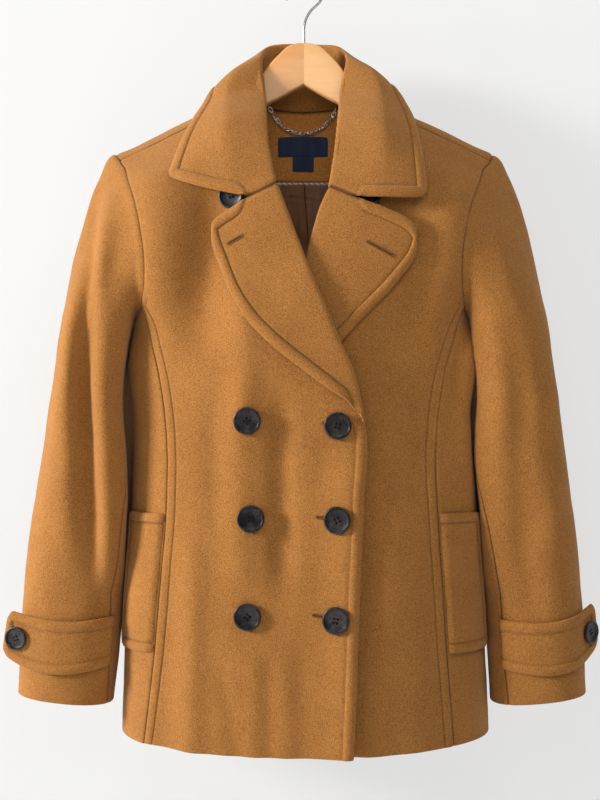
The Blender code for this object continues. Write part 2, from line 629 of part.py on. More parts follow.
def collar_half(side):
    sections = []
    starts, off = neck_seam(side)
    for i, rest in enumerate(COLLAR_BACK[:, 2:]):
        roll, crown, edge = (rest[k:k + 3] * (side, 1, 1) for k in (0, 3, 6))
        bulge = unit(np.array([edge[0] * 0.5, edge[1], 0.0])) * 4
        sections.append(collar_section(starts[2 * i], off[2 * i], roll, crown, edge, bulge))
    for i, (roll_x, roll_z, crown_x, crown_z, crown_lift, edge_x, edge_z, edge_lift) in enumerate(
        COLLAR_FRONT[side][:, 2:], len(COLLAR_BACK)
    ):
        roll = front(side, roll_x, roll_z, 5.0)
        crown = front(side, crown_x, crown_z, crown_lift)
        edge = front(side, edge_x, edge_z, edge_lift)
        bulge = np.array([0, -3.0, 0])
        sections.append(collar_section(starts[2 * i], off[2 * i], roll, crown, edge, bulge))
    column = 1 if side < 0 else 2
    x, z = at_height(FRONT_EDGE, neck_end_z, column) - side * fold_gap, neck_end_z
    aside = roll_side(side, z)
    notch, middle, point = COLLAR_END[side]
    end = [turned(side, x, z, aside, turn_radius, angle) for angle in (-91, -90, -35, 25, 90)]
    for place, lift in ((notch, END_LIFT[0]), (notch * 0.4 + middle * 0.6, END_LIFT[1] - 1.0),
                        (middle * 0.6 + point * 0.4, END_LIFT[1]), (point, END_LIFT[2])):
        end.append(front(side, *place, lift))
    sections = np.array(sections + [end])
    steps = np.arange(0, len(sections) - 0.75, 0.5)
    half = curve(np.arange(len(sections)), sections.reshape(len(sections), -1), steps).reshape(-1, 9, 3)
    half[:len(starts), 0] = starts
    half[:len(starts), 1] = starts + off * 3.5
    return half


def collar():
    right, left = collar_half(-1), collar_half(1)
    grid = np.concatenate([right[::-1], left[1:]])
    grid = trimmed(grid, top=gorge_gap / 2, bottom=gorge_gap / 2)
    return sheet("collar", grid, folded_cloth, wool_look, (0, 1, 0.3), (len(grid) // 2, 7))


# ---- small pieces -----------------------------------------------------------------------------

def pocket(side, name):
    """Raised flap on the side panel, let into the princess seam."""
    s = np.linspace(0.012, 0.42, 6)
    z = np.linspace(-561, -700, 8)[:, None]
    s, z = s + 0 * z, z + 0 * s
    surface = lambda a, b: side_point(side, a, b)
    out = surface_normals(surface, s, z, 0.01, 0.5, (side, 0, 0))
    grid = surface(s, z) + out * (folded_cloth + 0.35)
    return sheet(name, grid, folded_cloth, wool_look, (side * 0.5, -1, 0), (4, 2))


TAB = np.array([  # place along the tab from its sewn end, then top and bottom heights
    (0, -667, -717), (20, -668.5, -720), (45, -670, -723), (70, -668.5, -722), (88, -666, -718.5),
    (104, -662.5, -712), (112, -662, -707), (117, -668, -700),
], float)
tab_height, tab_gap = -690.0, 1.0
tab_button, cuff_button_z = 103.0, -688.0   # place and height of the tab's button
tab_leave_angle = {-1: 66.0, 1: 39.0}   # where each tab leaves the sleeve
tab_rise = {-1: (0.0, 0.0), 1: (-2.5, 8.0)}   # shift of each tab at its sewn end, and rise to its free end


def tab_path(side, lift, length, height):
    """Level path of the cuff tab: round the sleeve from the forearm seam, then straight off it."""
    sewn_angle = at_height(SLEEVE_SEAMS, tab_height, 1 if side < 0 else 2)
    angles = np.linspace(sewn_angle, tab_leave_angle[side], 40)
    ring = sleeve_ring(side, height + 0 * angles, angles)[:, :2]
    ahead = unit(np.gradient(ring, axis=0))
    out = np.stack([ahead[:, 1], -ahead[:, 0]], axis=-1) * side
    ring = ring + out * lift
    ends = ring[-1] + ahead[-1] * np.linspace(2, 80, 20)[:, None]
    ring = np.concatenate([ring, ends])
    out = np.concatenate([out, np.repeat(out[-1:], 20, axis=0)])
    step = np.concatenate([[0], np.cumsum(np.linalg.norm(np.diff(ring, axis=0), axis=1))])
    place = np.stack([np.interp(length, step, ring[:, k]) for k in (0, 1)], axis=-1)
    return place, np.stack([np.interp(length, step, out[:, k]) for k in (0, 1)], axis=-1)


def tab_grid(side, lift, lengths, shares):
    top, bottom = (curve(TAB[:, 0], TAB[:, column], lengths) for column in (1, 2))
    shift, rise = tab_rise[side]
    columns = []
    for share in shares:
        z = top + (bottom - top) * share + shift + rise * (lengths / TAB[-1, 0]) ** 2
        place, _ = tab_path(side, lift, lengths, z.mean())
        columns.append(np.column_stack([place, z]))
    return np.stack(columns, axis=1)


def cuff_tab(side, name):
    lengths = np.concatenate([np.linspace(0, 104, 14), [112, 117]])
    grid = tab_grid(side, folded_cloth + tab_gap, lengths, np.linspace(0, 1, 4))
    return sheet(name, grid, folded_cloth, wool_look, (side * 0.2, -1, 0), (5, 1))


def disc(name, radius, place, outward):
    """Turned button: a rim, a dished middle and the thread shank that carries it."""
    profile = [(2.4, 0.35), (2.4, 1.2), (radius - 2.0, 1.3), (radius, 2.8), (radius - 1.6, 4.3),
               (radius - 5.2, 3.4), (0, 3.3)]
    mesh = bpy.data.meshes.new(name)
    bottom = [(0, 0.35)] + profile
    places, edges = [(r * MM, 0, h * MM) for r, h in bottom], [(i, i + 1) for i in range(len(bottom) - 1)]
    mesh.from_pydata(places, edges, [])
    piece = add(name, mesh, (DARK, 0.35))
    turn = piece.modifiers.new("turn", "SCREW")
    turn.axis = "Z"
    turn.steps = turn.render_steps = 14
    turn.use_merge_vertices = True
    turn.merge_threshold = 0.00001
    turn.use_normal_calculate = True
    outward = Vector([float(v) for v in outward])
    piece.rotation_euler = outward.to_track_quat("Z", "Y").to_euler()
    piece.location = Vector([float(v) for v in place]) * MM
    return piece


def buttons():
    for name, (x, z, side) in FRONT_BUTTONS.items():
        surface = lambda a, b: front(side, a, b)
        out = surface_normals(surface, np.float64(x), np.float64(z), 6.0, 6.0, (0, -1, 0))
        corners = [front(side, x + dx, z + dz) for dx, dz in ((0, 0), (12, 0), (-12, 0), (0, 12), (0, -12))]
        rise = max(float(np.dot(corner - corners[0], out)) for corner in corners)
        disc(name, front_button_radius, corners[0] + out * max(0, rise - 0.9), out)
    for side, name in ((-1, "cuff_button_right"), (1, "cuff_button_left")):
        place, out = tab_path(side, folded_cloth + tab_gap, np.array([tab_button]), tab_height)
        shift, rise = tab_rise[side]
        z = cuff_button_z + shift + rise * (tab_button / TAB[-1, 0]) ** 2
        outward = np.array([out[0, 0], out[0, 1], 0.0])
        disc(name, cuff_button_radius, (place[0, 0], place[0, 1], z), outward)


def inside_back(x, z, depth):
    """Point inside the back wall, a depth in from its outer side."""
    reach = ridge(x) - z
    out = surface_normals(over_shoulder, x, reach, 0.5, 1.0, (0, 1, 0.3))
    return over_shoulder(x, reach) - out * depth


facing_low, facing_half = -209.5, 66.0


def neck_inside():
    depth = cloth + 1.3
    x, s = np.linspace(-facing_half, facing_half, 11), np.linspace(0, 1, 5)[:, None]
    top = np.interp(np.abs(x), [0, 26, 52, 66], [-137, -137, -138.5, -144])
    z = top + (facing_low - top) * s
    face = depth + facing_cloth
    sheet("neck_facing", inside_back(x + 0 * z, z, face), facing_cloth, wool_look, (0, -1, 0), (2, 5))
    for name, low_x, high_x, high, low in (
        ("label", -28, 26, -161, -182), ("size_label", -12, 10.5, -182.6, -198)
    ):
        x, z = np.meshgrid(np.linspace(low_x, high_x, 5), np.linspace(high, low, 3))
        sheet(name, inside_back(x, z, face + 1.5), label_cloth, (NAVY, 0.7), (0, -1, 0), (1, 2))
    x = np.linspace(-facing_half + 1, facing_half - 1, 17)
    wire("piping", inside_back(x, facing_low - 1.9 + 0 * x, depth + 1.6), piping_radius, (CREAM, 0.8))
    x = np.linspace(-37, 36, 17)
    sag = -159.5 + (-139.5 + 159.5) * np.abs((x + 0.5) / 36.5) ** 2.2
    wire("neck_chain", inside_back(x, sag, face + 2.6), chain_radius, (STEEL, 0.35, 1.0))
    share = np.array([-1, -0.75, -0.5, -0.25, -0.06, 0, 0.035, 0.07, 0.25, 0.5, 0.75, 1])
    z = np.concatenate([[facing_low - 4.2, -245, -290], np.linspace(-340, -777, 9)])[:, None]
    x = share * (at_height(BACK_SEAM, z, 1) * 0.9) + 0 * z
    pleat = np.interp(share, [-0.06, 0, 0.035, 0.07], [0, 3.2, 3.6, 0]) * np.clip((-215 - z) / 30, 0.2, 1)
    grid = np.array([[inside_back(a, b, depth + lining_cloth + 0.9 + p) for a, b, p in zip(*row)]
                     for row in zip(x, z + 0 * x, pleat + 0 * x)])
    sheet("lining_back", grid, lining_cloth, (SATIN, 0.4), (0, -1, 0), (4, 2))


# hanger: half outline from the top of the head to the apex of its underside, x and height
HANGER_HEAD = [(0, -74), (9, -74.8), (17, -77.8), (26, -86), (36, -96.5), (41, -103), (50, -118), (61, -133)]
arm_drop, arm_end = 10.0, 174.0
hanger_half_thickness = 5.8


def hanger():
    arm = [(x, float(ridge(x)) - arm_drop) for x in (78, 95, 120, 150, 168)]
    end_top = float(ridge(arm_end)) - arm_drop
    tip = [(arm_end, end_top - 3), (arm_end + 2, end_top - 10), (arm_end - 3, end_top - 15)]
    under = [(x, float(ridge(x)) - arm_drop - height) for x, height in
             ((158, 18), (135, 21), (108, 24), (80, 27))] + [(40, -139.5), (0, -118)]
    half = HANGER_HEAD + arm + tip + under
    outline = half + [(-x, z) for x, z in half[-2:0:-1]]
    line = bpy.data.curves.new("hanger_wood", "CURVE")
    line.dimensions = "2D"
    line.fill_mode = "BOTH"
    line.bevel_depth = 2.4 * MM
    line.bevel_resolution = 1
    line.offset = -line.bevel_depth
    line.extrude = hanger_half_thickness * MM - line.bevel_depth
    spline = line.splines.new("POLY")
    spline.points.add(len(outline) - 1)
    for point, (x, z) in zip(spline.points, outline):
        point.co = (x * MM, z * MM, 0, 1)
    spline.use_cyclic_u = True
    line.materials.append(material("hanger_wood", BEECH, 0.45))
    piece = bpy.data.objects.new("hanger_wood", line)
    piece.rotation_euler = (np.radians(90), 0, 0)
    coat.objects.link(piece)


hook_wire, hook_loop = 1.5, 20.0   # radii of the wire and of the loop's centre line


def hook():
    centre = hook_wire - hook_loop
    turn = np.radians(np.linspace(208, -52, 27))
    loop = [(hook_loop * np.cos(a), 0, centre + hook_loop * np.sin(a)) for a in turn]
    neck = [(8.2, 0, -39.6), (4.0, 0, -45), (1.4, 0, -50.5), (0.3, 0, -56), (0, 0, -62), (0, 0, -73.6)]
    wire("hanger_hook", loop + neck, hook_wire, (STEEL, 0.25, 1.0), 1)


# ---- build ------------------------------------------------------------------------------------

for old in list(bpy.data.objects):
    bpy.data.objects.remove(old, do_unlink=True)
coat = bpy.data.collections.new("pea_coat")
bpy.context.scene.collection.children.link(coat)

panels = body_panels()
sleeves(panels)
lapel(-1, "lapel_right", LAPEL_RIGHT)
lapel(1, "lapel_left", LAPEL_LEFT)
collar()
for side, name in ((-1, "right"), (1, "left")):
    pocket(side, "pocket_" + name)
    cuff_tab(side, "cuff_tab_" + name)
buttons()
neck_inside()
hanger()
hook()
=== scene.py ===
# Double-breasted pea coat on a wooden hanger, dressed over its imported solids.
# Lengths in the tables are millimetres in the coat's own frame: +X to the wearer's left,
# -Y to the front, +Z up, origin at the inner top of the hook. Right and left are the wearer's.
import bmesh
import bpy
import numpy as np
from mathutils import Matrix, Vector


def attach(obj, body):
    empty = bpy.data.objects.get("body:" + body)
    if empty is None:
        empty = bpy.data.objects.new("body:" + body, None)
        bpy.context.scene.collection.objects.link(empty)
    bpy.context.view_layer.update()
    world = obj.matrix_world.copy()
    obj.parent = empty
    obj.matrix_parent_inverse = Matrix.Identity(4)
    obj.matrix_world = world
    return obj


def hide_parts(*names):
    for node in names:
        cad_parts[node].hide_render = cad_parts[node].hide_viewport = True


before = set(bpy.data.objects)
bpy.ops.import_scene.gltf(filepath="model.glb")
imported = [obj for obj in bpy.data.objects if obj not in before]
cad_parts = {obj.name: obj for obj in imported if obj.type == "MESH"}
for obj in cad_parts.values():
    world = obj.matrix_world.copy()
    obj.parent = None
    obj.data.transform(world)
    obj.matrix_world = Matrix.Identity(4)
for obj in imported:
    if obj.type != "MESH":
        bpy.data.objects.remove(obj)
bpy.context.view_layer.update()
bpy.ops.object.select_all(action="DESELECT")
print("frame loaded:", len(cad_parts), "solids")

mm = 0.001

# camera level with the middle of the coat
view = {"place": (-0.0042, -1.2, -0.4478), "lens": 51.43}
cameraData = bpy.data.cameras.new("camera")
cameraData.lens = view["lens"]
cameraObject = bpy.data.objects.new("camera", cameraData)
cameraObject.location = view["place"]
cameraObject.rotation_euler = (np.pi / 2, 0, 0)
bpy.context.scene.collection.objects.link(cameraObject)
bpy.context.scene.camera = cameraObject
bpy.context.scene.view_settings.view_transform = "Standard"


# numbers and grids

def curveThrough(keys, values, at):
    keys, values = np.asarray(keys, float), np.asarray(values, float)
    slopes = np.gradient(values, keys, axis=0)
    at = np.clip(np.asarray(at, float), keys[0], keys[-1])
    low = np.clip(np.searchsorted(keys, at, side="right") - 1, 0, len(keys) - 2)
    span = keys[low + 1] - keys[low]
    t = (at - keys[low]) / span
    for _ in range(values.ndim - 1):
        span, t = span[..., None], t[..., None]
    return (
        values[low] * (2 * t**3 - 3 * t**2 + 1) + slopes[low] * span * (t**3 - 2 * t**2 + t)
        + values[low + 1] * (3 * t**2 - 2 * t**3) + slopes[low + 1] * span * (t**3 - t**2)
    )


def tableAt(table, z, column):
    table = np.asarray(table, float)
    return curveThrough(-table[:, 0], table[:, column], -np.asarray(z, float))


def columnOf(side):    # in tables with a column for the wearer's right and one for the left
    return 1 if side < 0 else 2


def unitOf(vectors):
    return vectors / np.maximum(np.linalg.norm(vectors, axis=-1, keepdims=True), 1e-9)


def bell(distance, width):
    return np.exp(-((distance / width) ** 2))


def below(value, level, softness):    # 1 far under a level and 0 far over it
    return 1 / (1 + np.exp((value - level) / softness))


def eased(share):    # from 0 to 1 with a soft start and end
    share = np.clip(share, 0, 1)
    return share**2 * (3 - 2 * share)


def lengthsAlong(line):
    return np.concatenate([[0], np.cumsum(np.linalg.norm(np.diff(line, axis=0), axis=1))])


def pointsAt(at, keys, line):    # a line of points read anew at other keys
    return np.stack([np.interp(at, keys, line[:, k]) for k in range(line.shape[1])], axis=-1)


def refined(grid, rowPlaces, columnPlaces):    # the grid at fractional row and column numbers
    grid = curveThrough(np.arange(len(grid)), grid, rowPlaces)
    grid = curveThrough(np.arange(grid.shape[1]), np.swapaxes(grid, 0, 1), columnPlaces)
    return np.swapaxes(grid, 0, 1)


def gridNormals(points, towards):    # on the side that a vector gives at the grid's middle
    found = unitOf(np.cross(np.gradient(points, axis=0), np.gradient(points, axis=1)))
    middle = found[len(found) // 2, found.shape[1] // 2]
    return found if np.dot(middle, towards) > 0 else -found


def surfaceNormal(surface, a, b, reachA, reachB, towards):    # of a surface that is given as a function
    across = surface(a + reachA, b) - surface(a - reachA, b)
    along = surface(a, b + reachB) - surface(a, b - reachB)
    found = unitOf(np.cross(across, along))
    return found * np.where(np.sum(found * towards, axis=-1, keepdims=True) < 0, -1, 1)


def edgeDistances(points):    # from the first and last row, then the first and last column
    rows, columns = points.shape[:2]
    down = np.cumsum(np.linalg.norm(np.diff(points, axis=0), axis=2), axis=0)
    down = np.concatenate([np.zeros((1, columns)), down])
    across = np.cumsum(np.linalg.norm(np.diff(points, axis=1), axis=2), axis=1)
    across = np.concatenate([np.zeros((rows, 1)), across], axis=1)
    return down, down[-1] - down, across, across[:, -1:] - across


def spacedColumns(points, near, far, count):
    # every row anew, with columns at set distances from both its ends and even ones between
    near, far, rows = np.array(near, float), np.array(far, float), []
    for line, place in zip(points, edgeDistances(points)[2]):
        whole, numbers = place[-1], np.arange(len(place))
        shrink = min(1, 0.85 * whole / (near[-1] + far[-1]))
        between = np.linspace(near[-1] * shrink, whole - far[-1] * shrink, count + 2)[1:-1]
        at = np.concatenate([near * shrink, between, (whole - far * shrink)[::-1]])
        rows.append(curveThrough(numbers, line, np.interp(at, place, numbers)))
    return np.array(rows)


def spacedRows(points, near, far, count):
    return np.swapaxes(spacedColumns(np.swapaxes(points, 0, 1), near, far, count), 0, 1)


def lineAt(grid, distances, at, axis):    # the line on a grid at one distance from an edge
    if axis == 0:
        grid, distances = np.swapaxes(grid, 0, 1), distances.T
    found = []
    for line, far in zip(grid, distances):
        order = 1 if far[-1] > far[0] else -1
        place = np.interp(at, far[::order], np.arange(len(far))[::order])
        found.append(curveThrough(np.arange(len(line)), line, place))
    return np.array(found)


def roundedCorner(points, rowEnd, columnEnd, radius):    # a square corner drawn in to a round one
    down, up, first, last = edgeDistances(points)
    fromRow = np.maximum(radius - (down if rowEnd == 0 else up), 0)
    fromColumn = np.maximum(radius - (first if columnEnd == 0 else last), 0)
    keep = np.maximum(fromRow, fromColumn) / np.maximum(np.hypot(fromRow, fromColumn), 1e-9)
    share = (1 - keep) * ((fromRow > 0) & (fromColumn > 0))
    shift = 0.0
    for axis, end, reach in ((0, rowEnd, fromRow), (1, columnEnd, fromColumn)):
        inward = unitOf(np.gradient(points, axis=axis)) * (1 if end == 0 else -1)
        shift = shift + inward * (reach * share)[..., None]
    return points + shift


def ripple(points, size, height):    # slow uneven swell of hanging cloth
    x, y, z = (points[..., k] / size for k in range(3))
    wave = (
        np.sin(1.3 * x + 0.8 * z + 1.0) * np.sin(1.1 * z - 0.5 * x + 0.4 * y)
        + 0.6 * np.sin(2.3 * x - 1.7 * z + 2.2) * np.sin(1.9 * z + 0.9 * x + 1.1 * y)
        + 0.35 * np.sin(4.1 * x + 3.3 * z + 0.7 * y)
    )
    return wave * height


def rippled(grid, normals, *swells):    # each swell is a size and a height
    return grid + normals * sum(ripple(grid, *swell) for swell in swells)[..., None]


# materials

def newMaterial(name, colour, roughness, metallic=0.0, **constants):
    look = bpy.data.materials.new(name)
    look.use_nodes = True
    shader = look.node_tree.nodes["Principled BSDF"]
    shader.inputs["Base Color"].default_value = (*colour, 1)
    shader.inputs["Roughness"].default_value = roughness
    shader.inputs["Metallic"].default_value = metallic
    for socket, value in constants.items():
        shader.inputs[socket.replace("_", " ")].default_value = value
    return look, look.node_tree, shader


def addNode(tree, kind, **values):
    node = tree.nodes.new("ShaderNode" + kind)
    for name, value in values.items():
        if hasattr(node, name):
            setattr(node, name, value)
        else:
            node.inputs[name.replace("_", " ")].default_value = value
    return node


def objectPlace(tree):
    return addNode(tree, "TexCoord").outputs["Object"]


def noiseOf(tree, coordinates, scale, detail, roughness=0.55, distortion=0.0):
    node = addNode(tree, "TexNoise", Scale=scale, Detail=detail, Roughness=roughness, Distortion=distortion)
    tree.links.new(coordinates, node.inputs["Vector"])
    return node.outputs["Fac"]


def spreadOf(tree, value, low, high, **ends):
    node = addNode(tree, "MapRange", From_Min=low, From_Max=high, **ends)
    tree.links.new(value, node.inputs["Value"])
    return node.outputs[0]


def fillSocket(tree, socket, value):
    if isinstance(value, (int, float)):
        socket.default_value = value
    elif isinstance(value, tuple):
        socket.default_value = (*value, 1)
    else:
        tree.links.new(value, socket)


def mathOf(tree, operation, *values):
    node = addNode(tree, "Math", operation=operation)
    for socket, value in zip(node.inputs, values):
        fillSocket(tree, socket, value)
    return node.outputs[0]


def mixColours(tree, share, a, b):
    node = addNode(tree, "Mix", data_type="RGBA")
    for number, value in ((0, share), (6, a), (7, b)):
        fillSocket(tree, node.inputs[number], value)
    return node.outputs[2]


def newGroup(name, inputs):
    tree = bpy.data.node_groups.new(name, "ShaderNodeTree")
    for socket, kind, value in inputs:
        tree.interface.new_socket(socket, in_out="INPUT", socket_type="NodeSocket" + kind).default_value = value
    for socket, kind in (("Colour", "Color"), ("Height", "Float")):
        tree.interface.new_socket(socket, in_out="OUTPUT", socket_type="NodeSocket" + kind)
    return tree, tree.nodes.new("NodeGroupInput").outputs, tree.nodes.new("NodeGroupOutput").inputs


def napGroup():    # matted nap: light fibre tips over a darker ground, with painted shade along the seam and stitch grooves
    tree, given, out = newGroup("clothNap", [
        ("Light", "Color", (1, 1, 1, 1)), ("Dark", "Color", (0, 0, 0, 1)), ("GrooveShade", "Float", 0.0)])
    place = objectPlace(tree)
    tufts = noiseOf(tree, place, 1050, 3, 0.62, 0.4)
    fibres = noiseOf(tree, place, 2300, 2, 0.6)
    clouds = noiseOf(tree, place, 26, 3, 0.5)
    mottle = mathOf(tree, "MULTIPLY_ADD", tufts, 0.6, mathOf(tree, "MULTIPLY", fibres, 0.34))
    whole = mathOf(tree, "MULTIPLY_ADD", clouds, 0.06, mottle)
    tone = mixColours(tree, spreadOf(tree, whole, 0.41, 0.60), given["Dark"], given["Light"])
    # painted shade: along the seam and stitch grooves the colour is drawn towards a near black brown
    shade = mathOf(tree, "MULTIPLY", given["GrooveShade"], 0.62)
    tree.links.new(mixColours(tree, shade, tone, (0.04, 0.014, 0.003)), out["Colour"])
    height = mathOf(tree, "ADD", mathOf(tree, "MULTIPLY", tufts, 0.7), mathOf(tree, "MULTIPLY", fibres, 0.3))
    tree.links.new(height, out["Height"])
    return tree


def stretched(tree, place, scale, turn=(0, 0, 0)):
    node = addNode(tree, "Mapping", Scale=scale, Rotation=turn)
    tree.links.new(place, node.inputs["Vector"])
    return node.outputs[0]


def weaveGroup():    # fine crossed threads, read from the piece's own cloth coordinates
    tree, given, out = newGroup("fineWeave", [
        ("Light", "Color", (1, 1, 1, 1)), ("Dark", "Color", (0, 0, 0, 1)), ("Threads", "Float", 1500.0)])
    place = objectPlace(tree)
    waves = []
    for direction in ("X", "Z"):
        wave = addNode(tree, "TexWave", wave_type="BANDS", bands_direction=direction)
        tree.links.new(place, wave.inputs["Vector"])
        tree.links.new(given["Threads"], wave.inputs["Scale"])
        waves.append(wave.outputs["Fac"])
    crossed = mathOf(tree, "MULTIPLY", *waves)
    streaks = noiseOf(tree, stretched(tree, place, (1, 1, 0.12)), 120, 3)
    share = mathOf(tree, "MULTIPLY_ADD", streaks, 1.0, mathOf(tree, "MULTIPLY", crossed, 0.35))
    tone = mixColours(tree, spreadOf(tree, share, 0.35, 0.95), given["Dark"], given["Light"])
    tree.links.new(tone, out["Colour"])
    tree.links.new(crossed, out["Height"])
    return tree


def bumpInto(tree, shader, height, strength, distance):
    bump = addNode(tree, "Bump", Strength=strength, Distance=distance)
    tree.links.new(height, bump.inputs["Height"])
    tree.links.new(bump.outputs["Normal"], shader.inputs["Normal"])


clothNap, fineWeave = napGroup(), weaveGroup()

woolFinish = {"light": (0.45, 0.19, 0.044), "dark": (0.19, 0.072, 0.013), "sheen": 0.18}
satinFinish = {"light": (0.27, 0.11, 0.025), "dark": (0.14, 0.05, 0.01)}
labelFinish = {"light": (0.022, 0.045, 0.115), "dark": (0.009, 0.02, 0.058)}


def groupInto(tree, shader, group, light, dark, strength, distance):    # colours and bumps of a group
    node = addNode(tree, "Group", node_tree=group, Light=(*light, 1), Dark=(*dark, 1))
    tree.links.new(node.outputs["Colour"], shader.inputs["Base Color"])
    bumpInto(tree, shader, node.outputs["Height"], strength, distance)
    return node.inputs


def woolMaterial(name, shade=1.0):
    # shade scales the cloth's colours; above 1 it paints light into them
    light, dark = (tuple(c * shade for c in woolFinish[key]) for key in ("light", "dark"))
    look, tree, shader = newMaterial(
        name, light, 0.92, Sheen_Weight=woolFinish["sheen"], Sheen_Roughness=0.5,
        Sheen_Tint=(1.0, 0.78, 0.52, 1), Specular_IOR_Level=0.2,
    )
    inputs = groupInto(tree, shader, clothNap, light, dark, 0.7, 0.0011)
    # each point's painted shade, made along the grooves where the cloth is sewn
    grooveShade = addNode(tree, "Attribute", attribute_name="grooveShade")
    tree.links.new(grooveShade.outputs["Fac"], inputs["GrooveShade"])
    return look


def wovenMaterial(name, finish, threads, roughness, bump, **constants):
    look, tree, shader = newMaterial(name, finish["light"], roughness, **constants)
    inputs = groupInto(tree, shader, fineWeave, finish["light"], finish["dark"], bump, 0.0003)
    inputs["Threads"].default_value = threads
    return look


def threadMaterial(name, light, dark):
    look, tree, shader = newMaterial(name, light, 0.6, Specular_IOR_Level=0.2)
    fibres = noiseOf(tree, objectPlace(tree), 2600, 2)
    tree.links.new(mixColours(tree, fibres, dark, light), shader.inputs["Base Color"])
    bumpInto(tree, shader, fibres, 0.4, 0.0002)
    return look


def buttonMaterial():    # dark horn with smoky streaks, its gloss uneven in small flecks
    look, tree, shader = newMaterial("darkHorn", (0.02, 0.018, 0.022), 0.3, Specular_IOR_Level=0.32)
    place = objectPlace(tree)
    smoke = spreadOf(tree, noiseOf(tree, place, 95, 5, 0.6, 1.4), 0.42, 0.72)
    flecks = noiseOf(tree, place, 900, 3, 0.6)
    tone = mixColours(tree, smoke, (0.0075, 0.006, 0.0068), (0.042, 0.034, 0.036))
    tree.links.new(tone, shader.inputs["Base Color"])
    tree.links.new(spreadOf(tree, flecks, 0.3, 0.7, To_Min=0.27, To_Max=0.42), shader.inputs["Roughness"])
    bumpInto(tree, shader, flecks, 0.12, 0.0002)
    return look


def woodMaterial(name, light, dark, lean):    # pale sealed wood, its grain along the arm
    look, tree, shader = newMaterial(name, light, 0.42, Coat_Weight=0.15)
    along = stretched(tree, objectPlace(tree), (0.12, 1, 1), (0, lean, 0))
    rings = noiseOf(tree, along, 120, 3, 0.55, 0.8)
    pores = noiseOf(tree, along, 1100, 2)
    share = mathOf(tree, "MULTIPLY_ADD", rings, 0.75, mathOf(tree, "MULTIPLY", pores, 0.25))
    tree.links.new(mixColours(tree, spreadOf(tree, share, 0.3, 0.7), dark, light), shader.inputs["Base Color"])
    bumpInto(tree, shader, pores, 0.15, 0.0002)
    return look


def steelMaterial(name, colour, roughness):
    look, tree, shader = newMaterial(name, colour, roughness, 1.0)
    scuffs = noiseOf(tree, objectPlace(tree), 700, 3)
    rough = spreadOf(tree, scuffs, 0, 1, To_Min=roughness * 0.7, To_Max=roughness * 1.5)
    tree.links.new(rough, shader.inputs["Roughness"])
    bumpInto(tree, shader, scuffs, 0.1, 0.0002)
    return look


wool = woolMaterial("woolMelton")
satin = wovenMaterial("liningSatin", satinFinish, 1400, 0.4, 0.2, Specular_IOR_Level=0.35)
# the facing is the same melton with its colours raised 1.9 times: painted light in the shaded neck
facingWoolPaintedLight = woolMaterial("facingMeltonPaintedLight", 1.9)
labelCloth = wovenMaterial("labelWeave", labelFinish, 1900, 0.6, 0.5)
seamThread = threadMaterial("seamThread", (0.30, 0.13, 0.04), (0.17, 0.07, 0.018))
holeThread = threadMaterial("holeThread", (0.25, 0.105, 0.03), (0.13, 0.05, 0.013))
# near black thread: real on the shanks, and also painted shade in the button holes and buttonhole slits
darkThreadAndShade = threadMaterial("darkThreadAndShade", (0.009, 0.007, 0.007), (0.004, 0.003, 0.003))
creamThread = threadMaterial("creamThread", (0.80, 0.70, 0.64), (0.62, 0.50, 0.45))
labelThread = threadMaterial("labelThread", (0.03, 0.05, 0.12), (0.012, 0.02, 0.05))
roseThread = threadMaterial("roseThread", (0.55, 0.22, 0.20), (0.40, 0.13, 0.12))
horn = buttonMaterial()
woodDark = woodMaterial("beechRight", (0.66, 0.33, 0.115), (0.58, 0.27, 0.09), 0.45)
woodPale = woodMaterial("beechLeft", (0.78, 0.44, 0.185), (0.70, 0.37, 0.145), -0.45)
hookSteel = steelMaterial("hookSteel", (0.62, 0.62, 0.62), 0.22)
chainSteel = steelMaterial("chainSteel", (0.85, 0.76, 0.66), 0.3)
print("materials made:", len(bpy.data.materials))


# cloth pieces

sides = ((-1, "right"), (1, "left"))


def finished(piece, slot, *nodes):
    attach(piece, "root")
    if nodes:
        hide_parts(*nodes)
    return piece


def sheetCut(piece, points, held, *restsOn):
    down, _, across, _ = edgeDistances(points)
    width, length = across[:, -1].max() * mm, down[-1].max() * mm
    steps = np.diff(points, axis=0)[:, :-1], np.diff(points, axis=1)[:-1]
    area = np.linalg.norm(np.cross(*steps), axis=2).sum() * mm**2
    flat = (float(width), float(length))
    print(piece.name, "cut", [round(side, 3) for side in flat], "area", round(float(area), 4))


def newMesh(name, places, faces, looks, lookIndex=None):
    mesh = bpy.data.meshes.new(name)
    mesh.from_pydata((np.asarray(places) * mm).tolist(), [], faces)
    for look in looks:
        mesh.materials.append(look)
    if lookIndex is not None:
        mesh.polygons.foreach_set("material_index", np.asarray(lookIndex, np.int32))
    mesh.shade_smooth()
    return mesh


def newPiece(mesh):
    piece = bpy.data.objects.new(mesh.name, mesh)
    bpy.context.scene.collection.objects.link(piece)
    return piece


def joined(parts):    # places and faces of several parts in one
    places, faces, done = [], [], 0
    for more, quads in parts:
        places.append(more)
        faces += [tuple(i + done for i in quad) for quad in quads]
        done += len(more)
    return np.concatenate(places), faces


def takenFrom(shape):    # places and faces of a modelled shape, which is removed
    places = np.array([v.co for v in shape.data.vertices])
    faces = [tuple(p.vertices) for p in shape.data.polygons]
    bpy.data.objects.remove(shape)
    return places, faces


